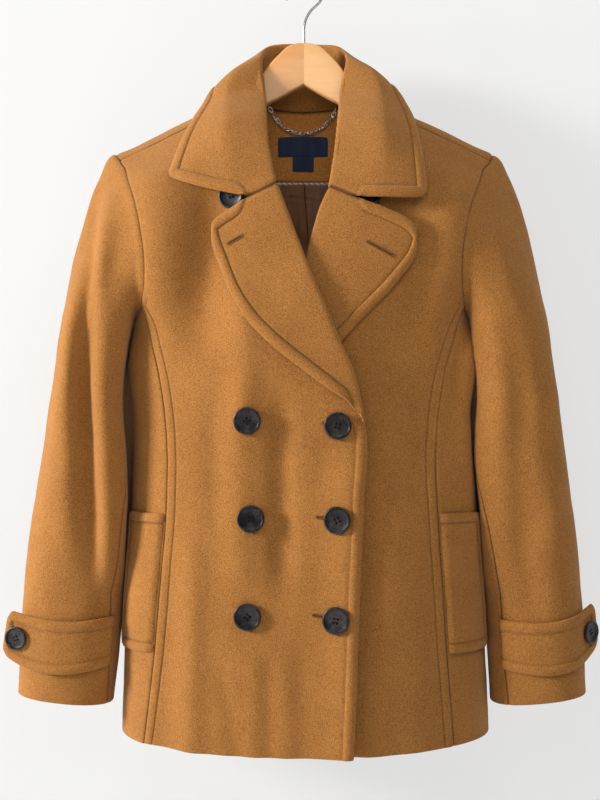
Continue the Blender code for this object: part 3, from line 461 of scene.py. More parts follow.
def clothShell(name, points, normals, thickness, rims, looks, grooveShade, insideFrom, steps=6):
    # a wall of cloth with round edges. rims says how far they stand out at the first and last row and
    # the first and last column, and insideFrom the column from which the back has the second look
    rows, columns = points.shape[:2]
    count = rows * columns
    index = np.arange(count).reshape(rows, columns)
    ring = np.concatenate([index[0, :-1], index[:-1, -1], index[-1, :0:-1], index[:0:-1, 0]])
    away, rim = np.zeros_like(points), np.zeros((rows, columns))
    edges = ((np.s_[0], np.s_[1]), (np.s_[-1], np.s_[-2]), (np.s_[:, 0], np.s_[:, 1]), (np.s_[:, -1], np.s_[:, -2]))
    for (edge, beside), reach in zip(edges, rims):
        away[edge] += unitOf(points[edge] - points[beside])
        rim[edge] = np.maximum(rim[edge], reach)
    away = unitOf(away - normals * np.sum(away * normals, axis=-1, keepdims=True)).reshape(-1, 3)[ring]
    rim = rim.reshape(-1)[ring][:, None]
    inner = points - normals * thickness
    outRing, inRing = points.reshape(-1, 3)[ring], inner.reshape(-1, 3)[ring]
    middle, half = (outRing + inRing) / 2, (outRing - inRing) / 2
    places, strips = [points.reshape(-1, 3), inner.reshape(-1, 3)], [ring]
    for k in range(1, steps):
        turn = np.pi * k / steps
        places.append(middle + half * np.cos(turn) + away * rim * np.sin(turn))
        strips.append(2 * count + (k - 1) * len(ring) + np.arange(len(ring)))
    strips.append(ring + count)
    a, b, c, d = index[:-1, :-1], index[1:, :-1], index[1:, 1:], index[:-1, 1:]
    quads = np.stack([a, b, c, d], axis=-1).reshape(-1, 4)
    bands = [np.stack([s, np.roll(s, -1), np.roll(t, -1), t], axis=-1) for s, t in zip(strips, strips[1:])]
    faces = np.concatenate([quads, quads[:, ::-1] + count, *bands])
    corners = points.reshape(-1, 3)[quads[len(quads) // 2]]
    turn = np.cross(corners[1] - corners[0], corners[2] - corners[0])
    if np.dot(turn, normals.reshape(-1, 3)[quads[len(quads) // 2][0]]) < 0:
        faces = faces[:, ::-1]
    lookIndex = np.zeros(len(faces))
    if len(looks) > 1:
        behind = np.tile(np.arange(columns - 1) >= insideFrom, rows - 1)
        lookIndex[len(quads):2 * len(quads)] = behind
    # painted groove shade on the outer face and its rims, none on the back
    grooveShadeOnPoints = np.concatenate([grooveShade.reshape(-1), np.zeros(count), np.tile(grooveShade.reshape(-1)[ring], steps - 1)])
    mesh = newMesh(name, np.concatenate(places), faces.tolist(), looks, lookIndex)
    mesh.attributes.new("grooveShade", "FLOAT", "POINT").data.foreach_set("value", grooveShadeOnPoints.astype(np.float32))
    return newPiece(mesh)


def sewn(points, normals, marks):
    # cloth drawn in at its seams, quilted along its stitch lines and swollen at its turned edges.
    # Each mark is a kind and distances from an edge, then where the stitches are and how high the roll is.
    # The kind lift has heights instead of distances
    # the second result is painted shade for the cloth's colour, darkest on the seam and stitch lines
    lift, grooveShade = np.zeros(points.shape[:2]), np.zeros(points.shape[:2])
    for kind, distance, *more in marks:
        if kind == "seam":
            lift += -0.6 * bell(distance, 1.1) + 0.2 * bell(distance - 4.5, 2.6)
            grooveShade += 0.9 * bell(distance, 0.65)
        elif kind == "stitch":
            lift += -0.6 * bell(distance - more[0], 0.9)
            grooveShade += 0.8 * bell(distance - more[0], 0.62)
        elif kind == "roll":
            lift += more[1] * np.sin(np.pi * np.clip(distance / more[0], 0, 1)) ** 0.75
        elif kind == "lift":
            lift += distance
    return points + normals * lift[..., None], np.clip(grooveShade, 0, 1)


def seamsAt(*distances):
    return [("seam", distance) for distance in distances]


def edgeMarks(distance, spec):    # a turned edge with its row of stitches
    return [("roll", distance, spec["stitch"], spec["roll"]), ("stitch", distance, spec["stitch"])]


def clothPiece(name, node, grid, normals, marks, cloth, rims, looks, held, restsOn, slot="melton", insideFrom=0):
    skin, grooveShade = sewn(grid, normals, marks)
    piece = finished(clothShell(name, skin, normals, cloth, rims, looks, grooveShade, insideFrom), slot, node)
    sheetCut(piece, grid, held, *restsOn)
    return skin


stitch = {"length": 2.7, "pitch": 3.7, "thick": 0.42, "start": 1.2, "sink": 0.12}


def stitchShape():    # one sunk stitch, a rounded grain
    bpy.ops.mesh.primitive_uv_sphere_add(segments=6, ring_count=5, radius=0.5)
    grain = bpy.context.object
    bpy.ops.object.mode_set(mode="EDIT")
    bpy.ops.transform.rotate(value=np.pi / 2, orient_axis="Y", center_override=(0, 0, 0))
    bpy.ops.transform.resize(value=(stitch["length"], stitch["thick"], stitch["thick"]))
    bpy.ops.object.mode_set(mode="OBJECT")
    return takenFrom(grain)


stitchPlaces, stitchFaces = stitchShape()


def alongPath(path, pitch, start=0.0):    # places, directions and row numbers at even steps of a line
    step, rows = lengthsAlong(path), np.arange(len(path))
    at = np.arange(start, step[-1], pitch)
    number = np.interp(at, step, rows)
    return pointsAt(at, step, path), unitOf(pointsAt(number, rows, np.gradient(path, axis=0))), number


def copiesOf(shapePlaces, shapeFaces, places, ahead, outward):
    # the shape repeated at each place, its length ahead and its height outward
    beside = unitOf(np.cross(outward, ahead))
    up = np.cross(ahead, beside)
    turned = np.einsum("vk,nkc->nvc", shapePlaces, np.stack([ahead, beside, up], axis=1))
    allPlaces = (turned + places[:, None]).reshape(-1, 3)
    faces = [tuple(i + n * len(shapePlaces) for i in face) for n in range(len(places)) for face in shapeFaces]
    return allPlaces, faces


def stitchRows(name, rows, look=seamThread, slot="melton", sink=stitch["sink"], scale=1.0, pitch=stitch["pitch"]):
    # all stitches of one piece in one mesh; rows are lines of points with their normals
    parts = []
    for path, outward in rows:
        places, ahead, number = alongPath(path, pitch, stitch["start"])
        if len(places):
            out = unitOf(pointsAt(number, np.arange(len(path)), outward))
            parts.append(copiesOf(stitchPlaces * scale, stitchFaces, places - out * sink, ahead, out))
    return finished(newPiece(newMesh(name, *joined(parts), [look])), slot)


def stitchLine(sheet, distances, at, axis, *bounds):
    # a row of stitches at one distance from an edge, where the values of each bound are over it
    line, out = (lineAt(grid, distances, at, axis) for grid in sheet)
    keep = np.ones(len(line), bool)
    for values, bound in bounds:
        keep &= lineAt(values[..., None], distances, at, axis)[:, 0] > bound
    return line[keep], out[keep]


def edgeStitches(name, sheet, edges, at):    # one row along each edge, up to the row of the next
    rows = []
    for distances, axis in edges:
        others = [other for other, _ in edges if other is not distances]
        rows.append(stitchLine(sheet, distances, at, axis, (np.minimum(*others), at)))
    stitchRows(name, rows)


# the coat's body

body = {
    "levels": [   # height, half width, centre x, depth in front, depth behind
        (-90, 234, 0, 52, 46), (-190, 216, 0, 61, 53), (-236, 206, 0, 67, 56), (-290, 193, 0, 74, 58),
        (-353, 175, -2.5, 80, 58), (-392, 172.5, -3, 80, 57), (-430, 174, -3, 80, 56),
        (-480, 174.5, -2.5, 79, 55), (-560, 179, 0, 81, 57), (-650, 185.5, 0.5, 84, 60), (-797, 191, 1.5, 87, 63),
    ],
    "armhole": [   # height, x of the seam on the wearer's right and left
        (-200, -192, 194), (-214, -184.6, 184.8), (-228, -178.2, 178), (-243, -172.4, 171.5),
        (-260, -167.7, 166), (-278, -164.1, 162), (-296, -160.8, 159.2), (-315, -159.6, 158.4),
        (-338, -161, 160.4), (-353, -165, 163.5),
    ],
    "princess": [
        (-353, -165, 163.5), (-372, -158, 155.5), (-393, -153, 148.5), (-413, -147.7, 142.3),
        (-448, -141.2, 135.8), (-498, -136.9, 131.5), (-560, -138, 133), (-637, -144, 138),
        (-700, -149.5, 142), (-797, -161.5, 149.5),
    ],
    "backSeam": [   # height, distance from the middle
        (-190, 197.5), (-215, 188), (-245, 178), (-280, 171), (-315, 168), (-353, 171),
        (-400, 160), (-480, 150), (-600, 157), (-797, 166),
    ],
    "frontEdge": [   # height, wearer's right (on top), wearer's left (under)
        (-143, -78, 78), (-175, -68, 67), (-208, -51, 49), (-236, -33, 29), (-259, -24, 19.5),
        (-285, -14, 12), (-312, -4.2, 5), (-354, 13.5, -13), (-382, 25.3, -23), (-413, 40, -39),
        (-448, 52.9, -51), (-477, 61, -59), (-545, 59, -57), (-640, 55, -53), (-730, 51.5, -50),
        (-797, 48.5, -48),
    ],
    "folds": [   # upper x z, lower x z, width, height (a trough is negative)
        (-160, -192, -158, -376, 36, 15.0), (-80, -212, -108, -420, 29, -16.0), (-58, -310, -60, -480, 15, 4.0),
        (-23, -428, -20, -655, 13, -7.0), (-90, -440, -88, -590, 10, -2.2), (-64, -400, -62, -660, 14, 3.0),
        (46, -455, 44, -797, 20, 6.0), (-110, -560, -112, -797, 13, 4.5), (-132, -600, -140, -797, 12, -3.0),
        (-84, -690, -66, -797, 8, -1.6), (-50, -690, -48, -797, 8, 1.2), (-35, -690, -34, -797, 8, -1.3),
        (-19, -680, -18, -797, 9, 1.0), (-3, -680, 0, -797, 9, -1.2),
        (104, -210, 104, -430, 26, -7.0), (157, -192, 156, -376, 34, 9.0), (110, -400, 112, -560, 20, -4.0),
        (104, -580, 106, -797, 18, 2.0), (80, -600, 82, -797, 13, -1.5),
    ],
    "sideSwell": {-1: 5.0, 1: 19.0},    # how far the side panel stands forward beside the waist
    # between which heights and how softly, then where across the panel and how wide
    "sideSwellZ": (-356, 40, -650, 180), "sideSwellAt": (0.42, 0.22),
    # from which height, over what drop and how far the panel fills out under the sleeve
    "sideFull": (-354.0, 108.0, 7.0),
    "backFolds": [
        (-70, -420, -84, -797, 24, -4.0), (72, -430, 88, -797, 24, -4.0), (-34, -560, -40, -797, 20, 3.0),
        (36, -560, 44, -797, 20, 3.0), (-110, -250, -90, -340, 18, -3.0), (110, -250, 90, -340, 18, -3.0),
    ],
    # shares of the doubled front: its half width and height, each with a softness, and the layer on each side
    "doubled": (88, 7, -208, 8), "doubledLayer": {-1: 1.5, 1: -3.0},
    # the hidden lapel: softness across, upper end and its softness, how far past the break and its softness
    "hidden": (6, -300, 7, 14, 7), "hiddenReach": {-1: 17, 1: 8}, "hiddenLayer": {-1: 3.4, 1: -1.6},
    "crossZ": -312.0,    # where the fronts cross
    # the top front rises towards its edge, the under front sinks along it and swells beside it lower down:
    # height where it starts, softness, height, distance from the edge, width
    "edgeRelief": {-1: [(-482, 14, 3.4, 0, 32)], 1: [(-482, 14, -3.5, 1.5, 6), (-570, 18, 6.0, 25, 17)]},
    "cloth": 2.2, "hemZ": -797.0, "hemRise": 8.0, "underarmZ": -353.0, "ridge": (75.0, -132.0, 0.477),
    "shoulderFall": 130.0, "seamForward": 10.5, "ringPower": 2.5, "neckEndZ": -236.0, "breakZ": -477.0,
    "princessEdge": {"stitch": 9.8, "roll": 0.5}, "edge": {"stitch": 11.0, "roll": 1.6}, "stitchStart": -337.0,
}


def ridgeHeight(x):    # height of the shoulder line, rounded off across the neck
    ridgeX, ridgeZ, slope = body["ridge"]
    beyond = np.maximum(np.abs(x) - ridgeX, 0) * slope
    inside = np.clip(np.abs(x) / ridgeX, 0, 1)
    return ridgeZ + slope * ridgeX / 2 * (1 - inside**2) - beyond


def softFolds(table, x, z):    # rounded ridges along their lines, fading at both ends
    total = 0.0
    for x0, z0, x1, z1, width, height in table:
        t = (z - z0) / (z1 - z0)
        fadeOut = 1.0 if z1 <= body["hemZ"] else 1 / (1 + np.exp((t - 0.88) * 22))
        across = x - (x0 + (x1 - x0) * np.clip(t, 0, 1))
        total = total + height * bell(across, width) / (1 + np.exp(-(t - 0.12) * 22)) * fadeOut
    return total


def ringDepth(x, z, column):
    level = tableAt(body["levels"], z, [1, 2, column])
    across = np.clip(np.abs(x - level[..., 1]) / level[..., 0], 0, 1)
    fallHeight = body["shoulderFall"]
    if column == 4:    # the back is full as soon as it leaves the neck
        fallHeight = fallHeight - 85 * (1 - np.clip(np.abs(x) / 110, 0, 1) ** 2)
    fall = np.clip((ridgeHeight(x) - z) / fallHeight, 0, 1)
    power = body["ringPower"]
    return level[..., 2] * (1 - across**power) ** (1 / power) * (1 - (1 - fall) ** 2) ** 0.7


def doubledFront(side, x, z):    # height that the double front and the lapel hidden between the fronts add
    halfWidth, soft, top, softTop = body["doubled"]
    double = below(np.abs(x), halfWidth, soft) * below(z, top, softTop)
    across, upper, softUpper, past, softPast = body["hidden"]
    roll = tableAt(body["frontEdge"], np.clip(z, body["breakZ"], body["crossZ"]), 2)
    hidden = below(roll - body["hiddenReach"][side] - x, 0, across)
    hidden = hidden * below(z, upper, softUpper) * below(body["breakZ"] - past - z, 0, softPast)
    return body["doubledLayer"][side] * double + body["hiddenLayer"][side] * hidden


def frontPoint(side, x, z, lift=0.0, foldShare=0.9):    # side -1 is the wearer's right, which lies on top
    x, z = np.asarray(x, float), np.asarray(z, float)
    layer, fromEdge = doubledFront(side, x, z), x - tableAt(body["frontEdge"], z, 1)
    for start, soft, height, distance, width in body["edgeRelief"][side]:
        layer = layer + below(z, start, soft) * height * bell(fromEdge - distance, width)
    y = -ringDepth(x, z, 3) - softFolds(body["folds"], x, z) * foldShare - layer - lift
    return np.stack(np.broadcast_arrays(x, y, z), axis=-1)


def shoulderPoint(x, reach):    # reach is a drop from the shoulder line, negative in front
    x, reach = np.asarray(x, float), np.asarray(reach, float)
    z = ridgeHeight(x) - np.abs(reach)
    behind = ringDepth(x, z, 4) + softFolds(body["backFolds"], x, z)
    return np.stack(np.broadcast_arrays(x, np.where(reach < 0, -ringDepth(x, z, 3), behind), z), axis=-1)


def ringAngle(x, z):
    half, centre = tableAt(body["levels"], z, 1), tableAt(body["levels"], z, 2)
    return np.arccos(np.clip(np.abs(x - centre) / half, 0, 1) ** (body["ringPower"] / 2))


def sidePoint(side, s, z):    # s runs from the princess seam, 0, round to the side back seam, 1
    seam = tableAt(body["princess"], z, columnOf(side))
    first, last = -ringAngle(seam, z), ringAngle(side * tableAt(body["backSeam"], z, 1), z)
    angle = first + (last - first) * s
    half, centre, before, behind = np.moveaxis(tableAt(body["levels"], z, [1, 2, 3, 4]), -1, 0)
    power = 2 / body["ringPower"]
    x = centre + side * half * np.abs(np.cos(angle)) ** power
    depth = np.where(angle < 0, -before, behind) * np.abs(np.sin(angle)) ** power
    soft = np.where(angle < 0, -softFolds(body["folds"], x, z) * 0.9, softFolds(body["backFolds"], x, z))
    high, softHigh, deep, softDeep = body["sideSwellZ"]
    middle, wide = body["sideSwellAt"]
    risen = eased(np.clip((high - z) / softHigh, 0, 1) * np.clip((z - deep) / softDeep, 0, 1))
    swell = body["sideSwell"][side] * bell(s - middle, wide) * risen
    soft = soft * np.minimum(1, np.abs(np.sin(angle)) * 1.6)
    top, drop, full = body["sideFull"]
    x = x + side * full * np.sin(np.pi * np.clip((top - z) / drop, 0, 1)) ** 2 * bell(s - 0.52, 0.3)
    return np.stack(np.broadcast_arrays(x, depth + soft - swell, z), axis=-1)


def hemCurve(x, z):    # the hem rises a little towards the sides
    drop = np.clip((body["underarmZ"] - z) / (body["underarmZ"] - body["hemZ"]), 0, 1)
    return z + body["hemRise"] * drop**2 * np.clip(np.abs(x) / 190, 0, 1) ** 2


coarseLow = np.linspace(body["underarmZ"], body["hemZ"], 12)
hemRim = 1.1
# rows below the underarm, closer at the hem
fineLow = np.concatenate([
    np.linspace(body["underarmZ"], body["hemZ"] + 14, 104), body["hemZ"] + np.array([10, 7, 4.5, 2.6, hemRim]),
])
seamNear = [0.25, 0.8, 1.5, 2.4, 3.6, 5.2]    # columns beside a plain seam
stitchNear = seamNear + [7.0, 8.3, 9.0, 9.4, 9.8, 10.2, 10.7, 11.6, 13.0, 15.0]    # and beside a stitched one
# and at a turned edge
edgeNear = [1.5, 2.2, 3.2, 4.6, 6.2, 8.0, 9.3, 10.0, 10.5, 10.9, 11.4, 12.1, 13.2, 15.0, 17.5]


def frontGrid(side, upperPlaces, low, columns):    # x and height of a front, rows at fractional numbers
    upper = [-143, -151, -175, -208, -236, -262, -290, -320, body["underarmZ"]]
    innerZ = np.concatenate([np.interp(upperPlaces, np.arange(9), upper), low])
    number = np.concatenate([upperPlaces, np.full(len(low), 9.0)])
    spread = np.clip((innerZ - body["underarmZ"]) / (-143 - body["underarmZ"]), 0, 1)
    outerZ, column = innerZ - 57 * spread, columnOf(side)
    innerX = tableAt(body["frontEdge"], innerZ, column)
    outerX = np.where(outerZ > body["underarmZ"], tableAt(body["armhole"], outerZ, column),
                      tableAt(body["princess"], outerZ, column))
    s = np.linspace(0, 1, columns)
    x = innerX[:, None] * (1 - s) + outerX[:, None] * s
    z = innerZ[:, None] * (1 - s) + outerZ[:, None] * s
    upperShare = eased(2 - number)[:, None]
    byRidge = ridgeHeight(x) - body["seamForward"] - 8 * np.minimum(number, 2)[:, None]
    return np.stack([x, hemCurve(x, z * (1 - upperShare) + byRidge * upperShare)], axis=-1)


backRows = np.array([0, 0.037, 0.075, 0.12, 0.18, 0.26, 0.37, 0.51, 0.67, 0.84, 1])
backNeck = [(0, 21), (14, 20.3), (28, 17.6), (52, 10), (71, -4)]   # x and drop of the back neck seam


def backGrid(side, upperPlaces, low, columns):    # x and reach of a back
    s = np.linspace(0, 1, columns)
    rows = np.interp(upperPlaces, np.arange(11), backRows)[:, None]
    seamX = 192.0 if side < 0 else 194.0
    neck = np.array(backNeck, float)
    topReach = np.interp(s * seamX, [*neck[:, 0], 77], [*neck[:, 1], -body["seamForward"]])
    lowReach = ridgeHeight(s * 171) - body["underarmZ"]
    reach = topReach + (lowReach - topReach) * rows
    coarseReach = topReach[-1] + (lowReach[-1] - topReach[-1]) * backRows
    outerX = tableAt(body["backSeam"], ridgeHeight(197.5) - np.maximum(coarseReach, 0), 1)
    outerX[:3] = (seamX, 196.5, 197.3)
    outerX = np.interp(upperPlaces, np.arange(11), outerX)
    upperX = side * outerX[:, None] * s
    z = np.repeat(low[:, None], columns, axis=1)
    lowerX = side * tableAt(body["backSeam"], z, 1) * s
    x = np.concatenate([upperX, lowerX])
    reach = np.concatenate([reach, ridgeHeight(lowerX) - hemCurve(lowerX, z)])
    return np.stack([x, reach], axis=-1)


def sideGrid(low, columns):    # s and height of a side panel
    s = np.linspace(0, 1, columns)
    dip = 13 * np.clip(1 - (body["underarmZ"] - low) / 40.4, 0, 1)[:, None]
    z = hemCurve(150 + 40 * np.sin(np.pi * s), low[:, None] - dip * np.sin(np.pi * s))
    return np.stack(np.broadcast_arrays(s, z), axis=-1)


def bodySurfaces(side, coarse):    # outer points of the front, back and side panel of one side
    if coarse:
        low, upper, upperBack, columns, sideColumns = coarseLow, np.arange(8.0), np.arange(11.0), 15, 8
    else:
        low, columns, sideColumns = fineLow, 61, 25
        upper = np.concatenate([[0.03, 0.1, 0.19, 0.3, 0.45, 0.65], np.arange(0.9, 7.95, 0.2)])
        upperBack = np.concatenate([[0.02, 0.06, 0.12, 0.2, 0.32, 0.5, 0.7], np.arange(0.95, 10, 0.18), [10]])
    fore = frontGrid(side, upper, low, columns)
    rear = backGrid(side, upperBack, low[1:], columns if not coarse else 12)
    flank = sideGrid(low, sideColumns)
    forePoints = frontPoint(side, fore[..., 0], fore[..., 1])
    rearPoints = shoulderPoint(rear[..., 0], rear[..., 1])
    flankPoints = sidePoint(side, flank[..., 0], flank[..., 1])
    forePoints[len(upper):, -1] = flankPoints[:, 0]
    rearPoints[len(upperBack) - 1:, -1] = flankPoints[:, -1]
    return forePoints, rearPoints, flankPoints, len(upper), len(upperBack)


def frontPanel(name, points):
    grid = spacedColumns(points, edgeNear, stitchNear, 40)
    normals = gridNormals(grid, (0, -1, 0))
    grid = rippled(grid, normals, (21, 0.22), (62, 0.5))
    top, _, first, last = edgeDistances(grid)
    shown = below(grid[..., 2], body["breakZ"] + 6, 3) > 0.5    # below the lapel the edge shows
    away = 99    # farther than any mark reaches
    # the topstitching leaves the armhole a little above the underarm
    outerZ = np.broadcast_to(grid[:, -1:, 2], last.shape)
    fall = np.clip((body["stitchStart"] - outerZ) / 16, 0, 1)
    princess, edge = body["princessEdge"], body["edge"]
    beside = np.where(outerZ < body["stitchStart"], last + princess["stitch"] * (1 - fall), away)
    marks = seamsAt(top, last) + edgeMarks(beside, princess) + edgeMarks(np.where(shown, first, away), edge)
    skin = clothPiece("frontPanel_" + name, "front_" + name, grid, normals, marks, body["cloth"],
                      (0.15, hemRim, 1.0, 0.15), [wool, satin], "hung", ["hanger_wood"], insideFrom=30)
    rows = []
    for distances, at, keep in ((beside, princess["stitch"], beside[:, -1] < away / 2),
                                (first, edge["stitch"], shown[:, 0])):
        line, out = stitchLine((skin, normals), distances, at, 1)
        rows.append((line[keep], out[keep]))
    stitchRows("stitching_front_" + name, rows)
    skins["front_" + name] = skin


def bodyPanels():
    for side, name in sides:
        fore, rear, flank, foreUpper, rearUpper = bodySurfaces(side, False)
        armholes[side] = np.concatenate([rear[:rearUpper, -1][::-1], fore[:foreUpper, -1], flank[0]])
        frontPanel(name, fore)
        for part, points, middle, towards, swells in (
                ("back", rear, 46, (0, 1, 0), ((23, 0.22), (66, 0.5))),
                ("side", flank, 20, (side, 0, 0), ((19, 0.22), (60, 0.5)))):
            grid = spacedColumns(points, seamNear, seamNear, middle)
            normals = gridNormals(grid, towards)
            grid = rippled(grid, normals, *swells)
            top, _, first, last = edgeDistances(grid)
            clothPiece(part + "Panel_" + name, part + "_" + name, grid, normals, seamsAt(top, last, first),
                       body["cloth"], (0.15, hemRim, 0.15, 0.15), [wool, satin], "hung", ["hanger_wood"])


armholes, skins = {}, {}    # the armhole's line by side, and outer points of some pieces
bodyPanels()
print("body panels made")


# sleeves

sleeve = {
    "levels": [   # height, then for the wearer's right and left the centre x and half width, then y, half depth
        (-392, -219.2, 36.2, 215.6, 40.0, -2, 58), (-448, -226.8, 36.5, 222.7, 40.3, -4, 56),
        (-500, -229.0, 42.3, 224.4, 44.8, -6, 51), (-552, -231.7, 47.7, 230.0, 46.8, -9, 47),
        (-614, -236.4, 50.6, 235.0, 49.8, -12, 43), (-668, -239.8, 51.3, 238.4, 50.0, -14, 40),
        (-758, -246.0, 48.2, 242.1, 48.9, -17, 37),
    ],
    "folds": [   # angle round the arm, half angle, top, bottom, height on the wearer's right and left
        (96, 16, -300, -660, -4.0, -1.5), (122, 14, -320, -620, 3.0, 2.0), (62, 20, -330, -560, 2.0, -2.5),
        (35, 18, -400, -640, -1.5, 2.0), (140, 20, -320, -640, 10.0, 6.0), (160, 16, -320, -640, 6.0, 8.0),
        (222, 24, -325, -640, 26.0, 26.0), (290, 26, -360, -620, 2.5, 2.5),
    ],
    "seams": [   # height, angle of the forearm seam on each side, angle of the elbow seam
        (-353, 165, 165, 228), (-448, 172, 170, 232), (-500, 168, 167, 235), (-549, 151, 153, 237),
        (-575, 147, 147, 238), (-610, 145.5, 141, 239), (-650, 144.5, 138, 240), (-700, 150, 139, 240),
        (-760, 159, 134, 240),
    ],
    "drape": {   # long folds down the front of each sleeve: upper x z, lower x z, width, height
        -1: [(-216, -215, -224, -470, 9, -8.0), (-223, -395, -209, -650, 9, -8.0),
             (-203, -205, -202, -460, 11, 5.0), (-202, -400, -195, -640, 11, 5.0), (-236, -300, -236, -660, 13, 4.0)],
        1: [(222, -260, 226, -500, 15, -2.5), (196, -240, 203, -560, 12, 1.0), (226, -215, 234, -340, 13, 3.0),
            (252, -330, 256, -620, 14, 3.0), (214, -560, 232, -680, 12, -2.0)],
    },
    "cuffSlant": 0.105, "cuffZ": -753.0, "forearm": 9, "elbow": 16,   # the front and back ends of the underarm
    "seamStart": 11,   # where on the armhole loop the forearm seam begins
    "turns": (152, 214),    # angles round the arm of the underarm's two ends
    # angle, then how far the cloth runs straight off the armhole and into the arm
    "pull": [
        (0, 92, 200), (90, 70, 120), (150, 34, 40), (185, 26, 22), (215, 34, 40), (270, 70, 120), (360, 92, 200),
    ],
}


def sleeveRing(side, z, angles):    # angle 0 outwards, 90 to the front, 180 towards the body
    column = 1 if side < 0 else 3
    centre, half, y, deep = np.moveaxis(tableAt(sleeve["levels"], z, [column, column + 1, 5, 6]), -1, 0)
    turn = np.radians(angles)
    bulge = 0.0
    for middle, wide, top, bottom, rightHeight, leftHeight in sleeve["folds"]:
        gap = (angles - middle + 180) % 360 - 180
        fade = np.clip(1 - (2 * (z - top) / (bottom - top) - 1) ** 2, 0, 1) ** 0.7
        bulge = bulge + (rightHeight if side < 0 else leftHeight) * bell(gap, wide) * fade
    x = centre + side * (half + bulge) * np.sign(np.cos(turn)) * np.abs(np.cos(turn)) ** 0.92
    # flat in front near the body
    flat = 0.92 - 0.44 * np.clip((z + 660) / 80, 0, 1) * ((angles > 90) & (angles < 180))
    y = y - (deep + bulge) * np.sign(np.sin(turn)) * np.abs(np.sin(turn)) ** flat
    height = z + sleeve["cuffSlant"] * side * (x - centre) * np.clip((z + 600) / -150, 0, 1)
    return np.stack([x, y, height + 0 * x], axis=-1)


def armholeLoop(side):    # coarse loop round the armhole, with directions out of it
    fore, rear, flank, _, _ = bodySurfaces(side, True)
    parts = [(rear[2:0:-1, -1], rear[2:0:-1, -2]), (fore[:8, -1], fore[:8, -2]), (flank[0], flank[1]),
             (rear[9:2:-1, -1], rear[9:2:-1, -2])]
    points, before = (np.concatenate([part[i] for part in parts]) for i in range(2))
    ahead = unitOf(points - before)
    for _ in range(2):
        ahead = unitOf(ahead + 0.5 * np.roll(ahead, 1, axis=0) + 0.5 * np.roll(ahead, -1, axis=0))
    return points, ahead


def snapped(points, line):    # each point moved onto the nearest place of a line
    starts, along = line[:-1], np.diff(line, axis=0)
    out = []
    for point in points:
        t = np.clip(np.sum((point - starts) * along, axis=1) / np.maximum(np.sum(along**2, axis=1), 1e-9), 0, 1)
        near = starts + along * t[:, None]
        out.append(near[np.argmin(np.linalg.norm(near - point, axis=1))])
    return np.array(out)


def sleeveGrid(side):    # the whole sleeve, rows from the armhole to the cuff, columns round the arm
    points, ahead = armholeLoop(side)
    count, fine = len(points), 6
    closed = [np.concatenate([a[-3:], a, a[:4]]) for a in (points, ahead)]
    at = np.arange(count * fine) / fine + 3
    points, ahead = (curveThrough(np.arange(len(a)), a, at) for a in closed)
    points, ahead = snapped(points, armholes[side]), unitOf(ahead)
    step = np.linalg.norm(np.roll(points, -1, axis=0) - points, axis=1)
    along = np.concatenate([[0], np.cumsum(step)])
    forearm, elbow = sleeve["forearm"] * fine, sleeve["elbow"] * fine
    turns = curveThrough([0, along[forearm], along[elbow], along[-1]], [0, *sleeve["turns"], 360], along[:-1])
    seam, pull = sleeve["seamStart"] * fine, np.array(sleeve["pull"], float)
    starts, ends = pointsAt(turns, pull[:, 0], pull[:, 1:]).T
    topZ = sleeve["levels"][0][0]
    first = sleeveRing(side, topZ + 0 * turns, turns)
    fall = unitOf(sleeveRing(side, topZ - 6 + 0 * turns, turns) - first)
    rows = []
    for t in [0.001, 0.004, 0.009, 0.016, 0.026, 0.04, 0.06, *np.linspace(0.085, 0.97, 38)]:
        rows.append(points * (2 * t**3 - 3 * t**2 + 1) + ahead * starts[:, None] * (t**3 - 2 * t**2 + t)
                    + first * (3 * t**2 - 2 * t**3) + fall * ends[:, None] * (t**3 - t**2))
    cuffZ = sleeve["cuffZ"]
    for z in [*np.linspace(topZ, cuffZ + 8, 62), cuffZ + 5, cuffZ + 2.8, cuffZ + 1.2]:
        seams = tableAt(sleeve["seams"], z, [columnOf(side), 3])
        angles = np.interp(turns, [0, turns[seam], sleeve["turns"][1], 360], [0, *seams, 360])
        blend = np.clip((topZ - z) / 60, 0, 1)
        rows.append(sleeveRing(side, z + 0 * turns, turns * (1 - blend) + angles * blend))
    return np.stack(rows), seam, elbow


def sleeves():
    for side, name in sides:
        whole, forearm, elbow = sleeveGrid(side)
        for part, columns, towards, middle in (
                ("upper", np.r_[elbow:whole.shape[1], 0:forearm + 1], (side, -0.4, 0), 70),
                ("under", np.r_[forearm:elbow + 1], (-side, 0.4, 0), 24)):
            grid = spacedColumns(whole[:, columns], seamNear, seamNear, middle)
            normals = gridNormals(grid, towards)
            drape = softFolds(sleeve["drape"][side], grid[..., 0], grid[..., 2]) * np.clip(-normals[..., 1], 0, 1)
            grid = rippled(grid, normals, (18, 0.2), (47, 0.6)) + normals * drape[..., None]
            top, _, first, last = edgeDistances(grid)
            head = np.clip((grid[..., 2] + 240) / 50, 0, 1)    # seam allowances fill the sleeve head
            lift = 0.5 * bell(top - 5, 4.5) + 2.6 * head * bell(top - 13, 9)
            grid = grid + normals * lift[..., None]
            clothPiece(part + "Sleeve_" + name, part + "_sleeve_" + name, grid, normals, seamsAt(top, last, first),
                       body["cloth"], (0.15, 1.1, 0.15, 0.15), [wool, satin], "hung", ["hanger_wood"])


sleeves()
print("sleeves made")


# collar and lapels

